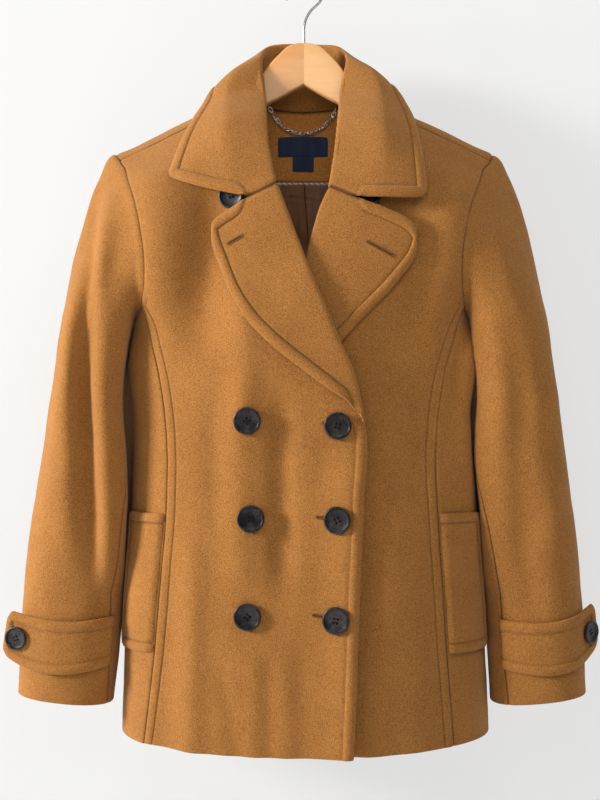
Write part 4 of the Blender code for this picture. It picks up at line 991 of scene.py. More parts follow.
lapels = {
    -1: [(-93, -279), (-91, -296), (-84, -315), (-70.5, -348), (-52.8, -374), (-29, -397), (0.7, -420),
         (30.4, -442), (45.3, -452), (56, -465)],
    1: [(114, -288), (110, -306), (92, -331), (75, -350), (60, -365), (45, -381), (33, -395), (12, -415),
        (-14, -436), (-38, -452), (-53, -464)],
    "top": {-1: [(-54, -246), (-78, -261), (-90, -270), (-93, -279)],
            1: [(49, -246), (80, -257), (106, -270), (114, -288)]},
    # height over the front at the notch end, at mid length and at the lower end
    "lift": {-1: [(8.2, 9.6, 11.2, 11.6), (7.2, 8.0, 9.4, 9.8), (5.6, 6.2, 7.4, 7.6)],
             1: [(8.6, 9.2, 8.4, 6.8), (7.2, 6.6, 6.0, 5.6), (5.2, 5.2, 5.4, 5.4)]},
    "rows": 13, "cloth": 3.0, "level": 1.6, "gap": 0.25, "stitch": 10.6, "roll": 1.6, "turnRadius": 5.0,
    "foldShare": 0.3,    # how far the body's folds show through
    # the tip, from a share of the length on, lies down into the front edge: its height and how far it draws in
    "tipFrom": 0.78, "tipLift": 1.2, "tipDraw": {-1: 2.8, 1: 0.0},
    "tipFlat": {-1: 14.0, 1: 0.0}, "tipFlatZ": -438.0,    # where the roll of its edge goes flat
    "notchRest": 16.0,    # keeps the roll and the stitches off the sewn part of the notch edge
}
collar = {
    # at the places of backNeck: roll line x y z, crown x y z and edge x y z
    "back": [
        (0, 25, -66.5, 0, 44, -77, 0, 66, -148), (12, 24.5, -67, 15, 43.5, -77.5, 22, 65, -147),
        (25, 22, -68, 33, 39, -79, 48, 58, -139), (38, 14, -73, 54, 24, -86, 76, 36, -123),
        (43.5, -6, -93, 68, -10, -100, 97, 2, -125),
    ],
    # neck x z, roll x z, crown x z lift, edge x z lift
    "front": {
        -1: [(-73, -160, -40, -126, -75, -131, 24, -107, -140, 12),
             (-64, -182, -38, -160, -75, -163, 19, -117, -160, 10),
             (-51, -208, -36.5, -192, -76, -194, 15, -128, -188, 10)],
        1: [(73, -160, 37, -126, 73, -132, 24, 108, -141, 12), (64, -182, 34, -160, 74, -167, 19, 116, -166, 10),
            (50, -208, 31.5, -192, 74, -202, 15, 121, -204, 10)],
    },
    "end": {-1: [(-54, -245.5), (-98, -239), (-138, -223)], 1: [(49, -245.5), (90, -248.5), (124, -245.5)]},
    "endLift": (8.8, 13.0, 10.0), "cloth": 3.0, "stitch": 10.8, "roll": 1.6, "neckGap": 0.5, "edgeGap": 3.5,
}


def turnedPoint(side, x, z, aside, radius, angle):
    # on the fold of a turned piece: level off the front's edge, then round from -90 to 90
    reach = lapels["level"] + radius * np.cos(np.radians(angle))
    if angle <= -90:
        reach = lapels["level"] * (angle + 91)
    lift = 0.4 - lapels["cloth"] + radius + radius * np.sin(np.radians(angle))
    return frontPoint(side, x + aside[0] * reach, z + aside[1] * reach, lift, lapels["foldShare"])


def rollSide(side, z):    # direction across the roll line, away from the front
    column, rise = columnOf(side), 4.0
    step = tableAt(body["frontEdge"], z - rise, column) - tableAt(body["frontEdge"], z + rise, column)
    return -side * np.array([2 * rise, -side * step]) / np.hypot(2 * rise, step)


def drawnBack(grid, top=0.0, bottom=0.0):
    grid = grid.copy()
    grid[0] += unitOf(grid[1] - grid[0]) * top
    grid[-1] += unitOf(grid[-2] - grid[-1]) * bottom
    return grid


def lapelGrid(side):    # as the solid lapel: rows along the roll line, five points round the fold, four on the leaf
    count, edge, radiusTop = lapels["rows"], np.array(lapels[side], float), lapels["turnRadius"]
    length = lengthsAlong(edge)
    outer = curveThrough(length, edge, np.linspace(0, length[-1], count))
    leafLift, rows = np.array(lapels["lift"][side]), []
    for i, z in enumerate(np.linspace(body["neckEndZ"], body["breakZ"] + 5, count)):
        down = i / (count - 1)
        tip = np.clip((down - lapels["tipFrom"]) / (1 - lapels["tipFrom"]), 0, 1)
        x = tableAt(body["frontEdge"], z, columnOf(side)) - side * lapels["gap"] - lapels["tipDraw"][side] * tip
        radius = np.interp(down, [0, 0.35, 0.8, 1], [radiusTop, 3.9 if side > 0 else radiusTop, 3.9, 2.0])
        lifts = [np.interp(down, [0, 0.25, 0.6], leafLift[:, k]) for k in range(4)]
        if side < 0:
            lifts = [max(lift, 7.0 - 0.5 * k - 1.6 * down) for k, lift in enumerate(lifts)]
        lifts = [lift + (lapels["tipLift"] - lift) * eased(tip) for lift in lifts]
        aside = rollSide(side, z)
        row = [turnedPoint(side, x, z, aside, radius, angle) for angle in (-91, -90, -40, 25, 90)]
        leaf = lapels["top"][side] if i == 0 else [
            np.array([x, z]) + (outer[i] - (x, z)) * share for share in (0.3, 0.6, 0.85, 1)]
        rows.append(row + [frontPoint(side, *place, lift, lapels["foldShare"]) for place, lift in zip(leaf, lifts)])
    return np.array(rows)


def lapelPieces():
    at = lapels["stitch"]
    for side, name in sides:
        coarse = drawnBack(lapelGrid(side), top=0.2)
        grid = refined(coarse, np.linspace(0, len(coarse) - 1, 97), np.linspace(0, 8, 65))
        grid = spacedRows(grid, edgeNear, [0.4, 1.2, 2.4], 84)
        grid = spacedColumns(grid, [0.2, 0.8, 1.6, 2.6], edgeNear, 40)
        grid = roundedCorner(grid, 0, -1, 9.0)
        normals = gridNormals(grid, (0, -1, 0))
        grid = rippled(grid, normals, (17, 0.15), (41, 0.35))
        top, _, _, last = edgeDistances(grid)
        free = below(6 - side * (grid[..., 0] - lapels["top"][side][0][0]), 0, 1.5)    # beyond the notch
        flat = lapels["tipFlat"][side] * np.clip((lapels["tipFlatZ"] - grid[..., 2]) / 22, 0, 1)
        edge = np.minimum(top + lapels["notchRest"] * (1 - free), last) + flat
        marks = edgeMarks(edge, lapels) + seamsAt(np.where(free > 0.5, 99, top))
        skin = clothPiece("lapelLeaf_" + name, "lapel_" + name, grid, normals, marks, lapels["cloth"],
                          (1.4, 0.6, 0.3, 1.4), [wool], "folded", ["front_" + name])
        sheet = (skin, normals)
        stitchRows("stitching_lapel_" + name, [
            stitchLine(sheet, last, at, 1, (top, at)), stitchLine(sheet, top, at, 0, (last, at), (free, 0.5))])
        skins["lapel_" + name] = skin


def collarSection(neck, up, roll, crown, edge, bulge):
    stand = neck * 0.45 + roll * 0.55
    middle = crown * 0.5 + edge * 0.5 + bulge
    controls = np.array([neck, neck + up * collar["edgeGap"], stand, roll, crown, middle, edge])
    return curveThrough(range(7), controls, np.array([0, 1, 2, 2.75, 3.3, 4, 4.6, 5.3, 6]))


def neckSeam(side):    # places just off the body's neck edge at every half station, and ways off it
    back, fore = np.array(backNeck, float), np.array(collar["front"][side], float)
    x = np.concatenate([side * back[:, 0], fore[:, 0]])
    reach = np.concatenate([back[:, 1], fore[:, 1] - ridgeHeight(fore[:, 0])])
    stations = np.arange(0, len(x) - 0.75, 0.5)
    x, reach = (np.interp(stations, np.arange(len(x)), values) for values in (x, reach))

    def surface(a, b):
        before = frontPoint(side, a, ridgeHeight(a) + b)
        return np.where((b < -body["seamForward"])[..., None], before, shoulderPoint(a, b))

    points = surface(x, reach)
    towards = np.stack([0 * x, np.clip(reach / 15, -1, 1), 0 * x + 0.3], axis=-1)
    outs = surfaceNormal(surface, x, reach, 0.5, 1, towards)
    off = unitOf(np.cross(outs, np.gradient(points, axis=0)))
    off = off * np.where(off[:, 2:] < 0, -1, 1)
    return points - outs * body["cloth"] + off * collar["neckGap"], unitOf(off + (0, 0, 0.2))


def collarHalf(side):
    share, (starts, off) = lapels["foldShare"], neckSeam(side)
    sections = []
    for i, row in enumerate(np.array(collar["back"], float)):
        roll, crown, edge = (row[k:k + 3] * (side, 1, 1) for k in (0, 3, 6))
        bulge = unitOf(np.array([edge[0] * 0.5, edge[1], 0.0])) * 4
        sections.append(collarSection(starts[2 * i], off[2 * i], roll, crown, edge, bulge))
    for i, row in enumerate(np.array(collar["front"][side], float)[:, 2:], len(collar["back"])):
        roll, crown, edge = (frontPoint(side, *place, share) for place in ((*row[:2], 5.0), row[2:5], row[5:]))
        sections.append(collarSection(starts[2 * i], off[2 * i], roll, crown, edge, np.array([0, -3.0, 0])))
    z = body["neckEndZ"]
    x, aside = tableAt(body["frontEdge"], z, columnOf(side)) - side * lapels["gap"], rollSide(side, z)
    end = [turnedPoint(side, x, z, aside, lapels["turnRadius"], angle) for angle in (-91, -90, -35, 25, 90)]
    notch, middle, point = np.array(collar["end"][side], float)
    lift = collar["endLift"]
    for place, height in ((notch, lift[0]), (notch * 0.4 + middle * 0.6, lift[1] - 1.0),
                          (middle * 0.6 + point * 0.4, lift[1]), (point, lift[2])):
        end.append(frontPoint(side, *place, height, share))
    sections = np.array(sections + [end])
    half = curveThrough(np.arange(len(sections)), sections, np.arange(0, len(sections) - 0.75, 0.5))
    half[:len(starts), 0] = starts
    half[:len(starts), 1] = starts + off * collar["edgeGap"]
    return half


def collarPiece():
    right, left = collarHalf(-1), collarHalf(1)
    coarse = drawnBack(np.concatenate([right[::-1], left[1:]]), top=0.2, bottom=0.2)
    grid = refined(coarse, np.linspace(0, len(coarse) - 1, 221), np.linspace(0, 8, 73))
    grid = spacedRows(grid, edgeNear, edgeNear, 170)
    grid = spacedColumns(grid, [0.2, 1.0, 2.2, 4.0], edgeNear, 46)
    grid = roundedCorner(roundedCorner(grid, 0, -1, 6.0), -1, -1, 9.0)
    normals = gridNormals(grid, (0, 1, 0.3))
    grid = rippled(grid, normals, (18, 0.15), (45, 0.35))
    top, bottom, first, last = edgeDistances(grid)
    x, ends, gorges, edges = grid[..., 0], [], [], []
    for side, distances in ((-1, top), (1, bottom)):
        past = side * (x - collar["end"][side][0][0])    # past the notch the end is free
        sewnShare = 1 - below(5 - past, 0, 1.5)
        ends.append(np.where(side * x > 0, distances + lapels["notchRest"] * sewnShare, 99))
        gorges.append(np.where(past > 3, 99, distances))
        edges.append((distances, past > 3))
    marks = edgeMarks(np.minimum(np.minimum(*ends), last), collar) + seamsAt(np.minimum(*gorges), first)
    skin = clothPiece("collarLeaf", "collar", grid, normals, marks, collar["cloth"], (1.4, 1.4, 0.3, 1.4), [wool],
                      "folded", ["back_right", "back_left"])
    sheet, at = (skin, normals), collar["stitch"]
    stitchRows("stitching_collar", [stitchLine(sheet, last, at, 1, (np.minimum(top, bottom), at))] + [
        stitchLine(sheet, distances, at, 0, (last, at), (free.astype(float), 0.5)) for distances, free in edges])


lapelPieces()
collarPiece()
print("collar and lapels made")


# pockets and cuff tabs

pocket = {
    "across": (0.012, 0.42), "heights": (-561.0, -700.0), "cloth": 3.0, "stitch": 8.2, "roll": 1.0,
    "near": [1.4, 2.2, 3.4, 5.0, 6.6, 7.6, 8.2, 8.8, 9.8, 12],
}


def pocketPieces():
    for side, name in sides:
        s, z = np.meshgrid(np.linspace(*pocket["across"], 31), np.linspace(*pocket["heights"], 71))
        base = sidePoint(side, s, z)
        normals = gridNormals(base, (side, -0.5, 0))
        inset = np.clip(edgeDistances(base)[2] / 7.0, 0, 1)    # one side is caught in the princess seam
        grid = base + normals * ((pocket["cloth"] + 0.6) * (0.12 + 0.88 * inset * (2 - inset)))[..., None]
        grid = spacedRows(grid, pocket["near"], pocket["near"], 56)
        grid = spacedColumns(grid, [0.2, 0.8, 1.8], pocket["near"], 18)
        grid = roundedCorner(roundedCorner(grid, 0, -1, 6.0), -1, -1, 9.0)
        normals = gridNormals(grid, (side, -0.5, 0))
        grid = rippled(grid, normals, (18, 0.15))
        top, bottom, _, last = edgeDistances(grid)
        marks = edgeMarks(np.minimum(np.minimum(top, bottom), last), pocket)
        skin = clothPiece("pocketFlap_" + name, "pocket_" + name, grid, normals, marks, pocket["cloth"],
                          (1.4, 1.4, 0.2, 1.4), [wool], "laid", ["side_" + name])
        edges = ((top, 0), (last, 1), (bottom, 0))
        edgeStitches("stitching_pocket_" + name, (skin, normals), edges, pocket["stitch"])


tab = {
    "outline": [(0, -667, -717), (20, -668.5, -720), (45, -670, -723), (70, -668.5, -722), (88, -666, -718.5),
                (104, -662.5, -712), (112, -662, -707), (117, -668, -700)],   # place, top and bottom
    "height": -690.0, "lift": 4.0, "buttonPlace": 103.0, "buttonZ": -688.0, "leaveAngle": {-1: 66.0, 1: 39.0},
    "rise": {-1: (0.0, 0.0), 1: (-2.5, 8.0)}, "cloth": 3.0, "stitch": 9.2, "roll": 1.1,
    "near": [1.4, 2.2, 3.4, 5.0, 7.2, 8.5, 9.2, 9.9, 11.2],
}


def tabPath(side, lift, length, height):    # round the sleeve from the forearm seam, then straight off it
    sewnAngle = tableAt(sleeve["seams"], tab["height"], columnOf(side))
    angles = np.linspace(sewnAngle, tab["leaveAngle"][side], 40)
    ring = sleeveRing(side, height + 0 * angles, angles)[:, :2]
    ahead = unitOf(np.gradient(ring, axis=0))
    out = np.stack([ahead[:, 1], -ahead[:, 0]], axis=-1) * side
    ring = ring + out * lift
    ends = ring[-1] + ahead[-1] * np.linspace(2, 80, 20)[:, None]
    ring, out = np.concatenate([ring, ends]), np.concatenate([out, np.repeat(out[-1:], 20, axis=0)])
    return [pointsAt(length, lengthsAlong(ring), line) for line in (ring, out)]


def tabRise(side, length):    # how far a tab climbs along its length
    shift, rise = tab["rise"][side]
    return shift + rise * (length / tab["outline"][-1][0]) ** 2


def tabPieces():
    outline = np.array(tab["outline"], float)
    for side, name in sides:
        lengths = np.linspace(0, outline[-1, 0], 60)
        top, bottom = (curveThrough(outline[:, 0], outline[:, k], lengths) for k in (1, 2))
        columns = []
        for share in np.linspace(0, 1, 27):
            z = top + (bottom - top) * share + tabRise(side, lengths)
            columns.append(np.column_stack([tabPath(side, tab["lift"], lengths, z.mean())[0], z]))
        grid = spacedRows(np.stack(columns, axis=1), [0.2, 0.8, 1.8, 3.2], tab["near"], 44)
        grid = spacedColumns(grid, tab["near"], tab["near"], 12)
        normals = gridNormals(grid, (side * 0.4, -1, 0))
        grid = roundedCorner(roundedCorner(grid, -1, 0, 5.0), -1, -1, 5.0)
        seam, end, upper, lower = edgeDistances(grid)
        marks = edgeMarks(np.minimum(np.minimum(upper, lower), end), tab) + seamsAt(seam)
        skin = clothPiece("cuffTab_" + name, "cuff_tab_" + name, grid, normals, marks, tab["cloth"],
                          (0.2, 1.4, 1.4, 1.4), [wool], "laid", ["upper_sleeve_" + name])
        edgeStitches("stitching_tab_" + name, (skin, normals), ((upper, 1), (end, 0), (lower, 1)), tab["stitch"])


pocketPieces()
tabPieces()
print("pockets and cuff tabs made")


# buttons

button = {
    "radius": 13.5, "cuffRadius": 11.8, "rim": 1.9, "dish": 2.0, "height": 3.4, "level": 2.6, "bevel": 1.1,
    "holes": 4, "holeRadius": 1.25, "holeReach": 2.7, "holeTurn": np.pi / 4 + 0.12, "holeLevel": 4.2,
    "places": {   # x, height, and the front that carries it
        "right_1": (-72, -243.5, -1), "left_1": (63, -243.5, 1),
        "right_2": (-56, -468, -1), "left_2": (32.7, -473, -1),
        "right_3": (-52.5, -564, -1), "left_3": (32.5, -565, -1),
        "right_4": (-55.5, -659.5, -1), "left_4": (31, -662, -1),
    },
}


def holePlace(k):    # middle of a hole in the button's face
    turn = np.pi / 2 * k + button["holeTurn"]
    return button["holeReach"] * np.cos(turn), button["holeReach"] * np.sin(turn)


def edgesWhere(work, test):    # selects the edges that pass a test
    for face in work.faces:
        face.select = False
    for edge in work.edges:
        edge.select = False
    for edge in work.edges:
        if test(edge):
            edge.select = True


def modelButton():
    # a turned disc: raised rim, dished face and four holes
    radius = button["radius"] * mm
    bpy.ops.mesh.primitive_cylinder_add(vertices=64, radius=radius, depth=button["height"] * mm,
                                        location=(0, 0, button["level"] * mm))
    disc = bpy.context.object
    bpy.ops.object.transform_apply(location=True, rotation=False, scale=False)
    bpy.ops.object.mode_set(mode="EDIT")
    bpy.ops.mesh.select_mode(type="FACE")
    work = bmesh.from_edit_mesh(disc.data)
    for face in work.faces:
        face.select = face.normal.z > 0.9
    bmesh.update_edit_mesh(disc.data)
    dish = button["dish"]
    for inset, drop in ((button["rim"], 0.0), (0.9, -dish * 0.75), (1.6, -dish * 0.25), (4.0, -0.1)):
        bpy.ops.mesh.inset(thickness=inset * mm)
        bpy.ops.transform.translate(value=(0, 0, drop * mm))
    bpy.ops.mesh.select_mode(type="EDGE")
    work = bmesh.from_edit_mesh(disc.data)
    edgesWhere(work, lambda edge: all(abs(v.co.xy.length - radius) < 1e-5 for v in edge.verts)
               and abs(edge.verts[0].co.z - edge.verts[1].co.z) < 1e-6)
    bmesh.update_edit_mesh(disc.data)
    bpy.ops.mesh.bevel(offset=button["bevel"] * mm, segments=4, affect="EDGES")
    bpy.ops.object.mode_set(mode="OBJECT")
    for k in range(button["holes"]):
        x, y = holePlace(k)
        bpy.ops.mesh.primitive_cylinder_add(vertices=16, radius=button["holeRadius"] * mm, depth=6 * mm,
                                            location=(x * mm, y * mm, button["holeLevel"] * mm))
        drill = bpy.context.object
        cut = disc.modifiers.new("hole", "BOOLEAN")
        cut.operation, cut.object, cut.solver = "DIFFERENCE", drill, "EXACT"
        bpy.context.view_layer.objects.active = disc
        bpy.ops.object.modifier_apply(modifier="hole")
        bpy.data.objects.remove(drill)
    disc.data.materials.clear()
    disc.data.materials.append(horn)
    disc.data.materials.append(darkThreadAndShade)
    for face in disc.data.polygons:    # the hole walls and floors take the thread's near black: the thread sewn through them, and painted shade inside the holes
        away = [(face.center.xy / mm - Vector(holePlace(k))).length for k in range(button["holes"])]
        face.material_index = int(min(away) < button["holeRadius"] + 0.05)
    bpy.ops.object.select_all(action="DESELECT")
    disc.select_set(True)
    bpy.context.view_layer.objects.active = disc
    bpy.ops.object.shade_smooth_by_angle(angle=np.radians(38))
    return disc


def modelShank():
    # two thin stitches between the holes, wound into a shank behind the button
    high, low = np.array([0, 0, 2.75]), np.array([0, 0, 0.55])
    parts = []
    for k in (0, 2):
        a, b = (np.array([*holePlace(hole), 0.0]) for hole in (k, k + 1))
        line = [a + low, a * 0.95 + b * 0.05 + high, (a + b) / 2 + high, b * 0.95 + a * 0.05 + high, b + low]
        line = curveThrough(range(5), np.array(line), np.linspace(0, 4, 17))
        parts.append(tubeAlong(line, 0.3, 8))
    coil = [(1.7 * np.cos(a), 1.7 * np.sin(a), -0.8 + 0.45 * a / 6.28) for a in np.linspace(0, 25, 90)]
    parts.append(tubeAlong(coil, 0.4, 6))
    return newMesh("shankThread", *joined(parts), [darkThreadAndShade])


def tubeAlong(path, radius, sidesRound):    # closed round tube along a line of points
    path, count = np.asarray(path, float), len(path)
    ahead = unitOf(np.gradient(path, axis=0))
    up = np.cross(ahead[0], (0.0, 0.0, 1.0) if abs(ahead[0][2]) < 0.9 else (1.0, 0.0, 0.0))
    turn = (np.arange(sidesRound) * 2 * np.pi / sidesRound)[:, None]
    rings = []
    for point, way in zip(path, ahead):
        up = unitOf(up - way * np.dot(up, way))
        rings.append(point + radius * (np.cos(turn) * up + np.sin(turn) * np.cross(way, up)))
    index = np.arange(count * sidesRound).reshape(count, sidesRound)
    after = np.roll(index, -1, axis=1)
    faces = np.stack([index[:-1], after[:-1], after[1:], index[1:]], axis=-1).reshape(-1, 4).tolist()
    return np.concatenate(rings), faces + [index[0, ::-1].tolist(), index[-1].tolist()]


def placedCopy(name, mesh, matrix, slot, *nodes):    # a copy with its own mesh, its place in the mesh
    piece = bpy.data.objects.new(name, mesh.copy())
    piece.data.transform(matrix)
    bpy.context.scene.collection.objects.link(piece)
    return finished(piece, slot, *nodes)


def standing(place, outward, scale=1.0, spin=0.0):    # matrix that stands +Z on a surface
    outward = Vector([float(v) for v in outward])
    turn = outward.to_track_quat("Z", "Y").to_matrix().to_4x4()
    return (Matrix.Translation(Vector([float(v) * mm for v in place])) @ turn
            @ Matrix.Rotation(spin, 4, "Z") @ Matrix.Scale(scale, 4))


def outwardAt(side, x, z):
    return surfaceNormal(lambda a, b: frontPoint(side, a, b), x, z, 6, 6, (0, -1, 0))


def placeButtons():
    disc, shank = modelButton(), modelShank()

    def sewnOn(name, matrix):
        placedCopy(name + "_horn", disc.data, matrix, "button", name)
        placedCopy(name + "_thread", shank, matrix, "button")

    for k, (name, (x, z, side)) in enumerate(button["places"].items()):
        out = outwardAt(side, float(x), float(z))
        corners = [frontPoint(side, x + dx, z + dz) for dx, dz in ((0, 0), (12, 0), (-12, 0), (0, 12), (0, -12))]
        rise = max(float(np.dot(corner - corners[0], out)) for corner in corners)
        sewnOn("button_" + name, standing(corners[0] + out * max(0, rise - 0.9), out, 1.0, 0.4 * k))
    for side, name in sides:
        place, out = tabPath(side, tab["lift"], np.array([tab["buttonPlace"]]), tab["height"])
        place = (*place[0], tab["buttonZ"] + tabRise(side, tab["buttonPlace"]))
        sewnOn("cuff_button_" + name, standing(place, (*out[0], 0.0), button["cuffRadius"] / button["radius"], 0.3))
    bpy.data.objects.remove(disc)


placeButtons()
print("buttons made")


# inside of the neck: facing, labels, piping, chain and back lining

inside = {
    "facingLow": -209.5, "facingHalf": 66.0, "facingCloth": 1.8, "labelCloth": 0.6, "liningCloth": 1.0,
    # distances from the middle and heights of its upper edge
    "facingTop": ([0, 26, 45, 52, 66], [-135.6, -134.8, -134.0, -134.8, -141]),
    "labels": [   # piece, node, x and height of its ends
        ("wovenLabel", "label", (-28, 26), (-161, -182)), ("sizeTag", "size_label", (-12, 10.5), (-182.6, -198)),
    ],
    "labelStitch": 1.6, "behind": body["cloth"] + 1.3,    # depth in the back wall where the facing and lining start
    "strands": [(creamThread, 0.95), (roseThread, 0.7), (creamThread, 0.95)],    # look and radius
    "strandReach": 0.8, "twists": 22,
}


def insideBack(x, z, depth):    # inside the back wall, a depth in from its outer side
    x, z = np.broadcast_arrays(np.asarray(x, float), np.asarray(z, float))
    reach = ridgeHeight(x) - z
    out = surfaceNormal(shoulderPoint, x, reach, 0.5, 1.0, (0, 1, 0.3))
    return shoulderPoint(x, reach) - out * np.asarray(depth, float)[..., None]


def neckFacing():
    half, s = inside["facingHalf"], np.linspace(0, 1, 37)[:, None]
    x = np.linspace(-half, half, 67)
    top = np.interp(np.abs(x), *inside["facingTop"])
    grid = insideBack(x, top + (inside["facingLow"] - top) * s, inside["behind"] + inside["facingCloth"])
    normals = gridNormals(grid, (0, -1, 0))
    grid = rippled(grid, normals, (15, 0.15))
    top, bottom, _, _ = edgeDistances(grid)
    clothPiece("neckFacing", "neck_facing", grid, normals, seamsAt(top, bottom), inside["facingCloth"], (0.2,) * 4,
               [facingWoolPaintedLight], "hung", ["back_right", "back_left"])


def labels():
    for name, node, across, heights in inside["labels"]:
        x, z = np.meshgrid(np.linspace(*across, 28), np.linspace(*heights, 14))
        grid = insideBack(x, z, inside["behind"] + inside["facingCloth"] + 1.5)
        normals = gridNormals(grid, (0, -1, 0))
        top, bottom, first, last = edgeDistances(grid)
        at = inside["labelStitch"]
        lift = -0.35 * bell(np.minimum(first, last) - at, 0.7) - 0.2 * bell(np.minimum(top, bottom), 1.0)
        clothPiece(name, node, grid, normals, [("lift", lift)], inside["labelCloth"], (0.3,) * 4, [labelCloth],
                   "laid", ["neck_facing"], "label")
        rows = [stitchLine((grid, normals), distances, at, 1) for distances in (first, last)]
        stitchRows("stitching_" + name, rows, labelThread, "label", 0.0, 0.42, 1.5)


def piping():    # thin cords twisted together
    half, count = inside["facingHalf"] - 1, 240
    line = insideBack(np.linspace(-half, half, count), inside["facingLow"] - 1.9, inside["behind"] + 1.6)
    ahead = unitOf(np.gradient(line, axis=0))
    up = unitOf(np.cross(ahead, (0, 1, 0)))
    across = np.cross(ahead, up)
    turn = (np.arange(count) / count * 2 * np.pi * inside["twists"])[:, None]
    parts = []
    for k, (_, size) in enumerate(inside["strands"]):
        angle = turn + 2 * np.pi * k / len(inside["strands"])
        way = up * np.cos(angle) + across * np.sin(angle)
        parts.append(tubeAlong(line + way * inside["strandReach"], size, 7))
    index = np.repeat(range(len(parts)), [len(faces) for _, faces in parts])
    mesh = newMesh("twistedPiping", *joined(parts), [look for look, _ in inside["strands"]], index)
    finished(newPiece(mesh), "piping", "piping")


def backLining():    # with its yoke seam and centre pleat
    low = inside["facingLow"]
    share = np.concatenate([np.linspace(-1, -0.12, 26), np.linspace(-0.11, 0.11, 67), np.linspace(0.12, 1, 26)])
    z = np.concatenate([np.linspace(low - 3.4, -290, 34), np.linspace(-297, -777, 70)])[:, None]
    x = share * (tableAt(body["backSeam"], z, 1) * 0.9)
    slant = np.clip((low - z) * 0.0005, 0, 0.045)    # the pleat leans a little
    pleat = np.interp(share - slant, [-0.10, -0.015, -0.004, 0.002, 0.05], [0, 3.4, 3.9, 0.3, 0])
    places = np.stack(np.broadcast_arrays(x, 0.0, z), axis=-1)
    soft = ripple(places, 16, 0.5) * np.clip((-205 - z) / 60, 0, 1)
    grid = insideBack(x, z, inside["behind"] + inside["liningCloth"] + 0.9 + pleat + soft)
    normals = gridNormals(grid, (0, -1, 0))
    yoke = np.abs(grid[..., 2] - (-229 - 3 * np.sin(grid[..., 0] / 18)))
    lift = -0.9 * bell(yoke, 1.0) + 0.4 * bell(yoke - 3, 1.6)
    clothPiece("backLining", "lining_back", grid, normals, [("lift", lift)], inside["liningCloth"], (0.3,) * 4,
               [satin], "hung", ["neck_facing"], "lining")


neckFacing()
labels()
piping()
backLining()

chain = {
    "ends": (-38, 37), "low": -156.8, "high": -131.5, "ring": 1.95, "wire": 0.72, "stretch": 1.55, "pitch": 2.9,
    "tilt": 34, "turn": 62,    # degrees that a link leans, and from one link to the next
}


def neckChain():
    # curb chain: one link modelled, each copy turned on from the last
    start, end = chain["ends"]
    x = np.linspace(start, end, 60)
    share = np.abs((x - (start + end) / 2) / ((end - start) / 2))
    sag = chain["low"] + (chain["high"] - chain["low"]) * share**2.1
    path = insideBack(x, sag, inside["behind"] + inside["facingCloth"] + 2.6)
    bpy.ops.mesh.primitive_torus_add(major_segments=12, minor_segments=6, major_radius=chain["ring"],
                                     minor_radius=chain["wire"])
    link = bpy.context.object
    bpy.ops.object.mode_set(mode="EDIT")
    bpy.ops.mesh.select_all(action="SELECT")
    bpy.ops.transform.resize(value=(chain["stretch"], 1.0, 1.0))
    bpy.ops.object.mode_set(mode="OBJECT")
    places, faces = takenFrom(link)
    tilt = np.radians(chain["tilt"])
    places = places @ np.array([(np.cos(tilt), 0, np.sin(tilt)), (0, 1, 0), (-np.sin(tilt), 0, np.cos(tilt))])
    at, ahead, _ = alongPath(path, chain["pitch"])
    out = np.broadcast_to((0.0, -1.0, 0.0), at.shape)
    phase = (np.arange(len(at)) * np.radians(chain["turn"]))[:, None]
    turned = out * np.cos(phase) + unitOf(np.cross(ahead, out)) * np.sin(phase)
    mesh = newMesh("neckChain", *copiesOf(places, faces, at, ahead, turned), [chainSteel])
    piece = finished(newPiece(mesh), "chain", "neck_chain")


neckChain()
print("inside of the neck made")


# hanger

hanger = {
    "top": [(0, -74), (9, -74.8), (17, -77.8), (26, -86), (36, -96.5), (41, -103), (50, -118), (61, -133)],
    "armX": (78, 95, 120, 150, 168), "armDrop": 10.0, "armEnd": 174.0, "halfThickness": 5.8, "round": 2.2,
    "under": [(0, -118), (40, -139.5)], "underDrop": [(80, 27), (108, 24), (135, 21), (158, 18)],
}


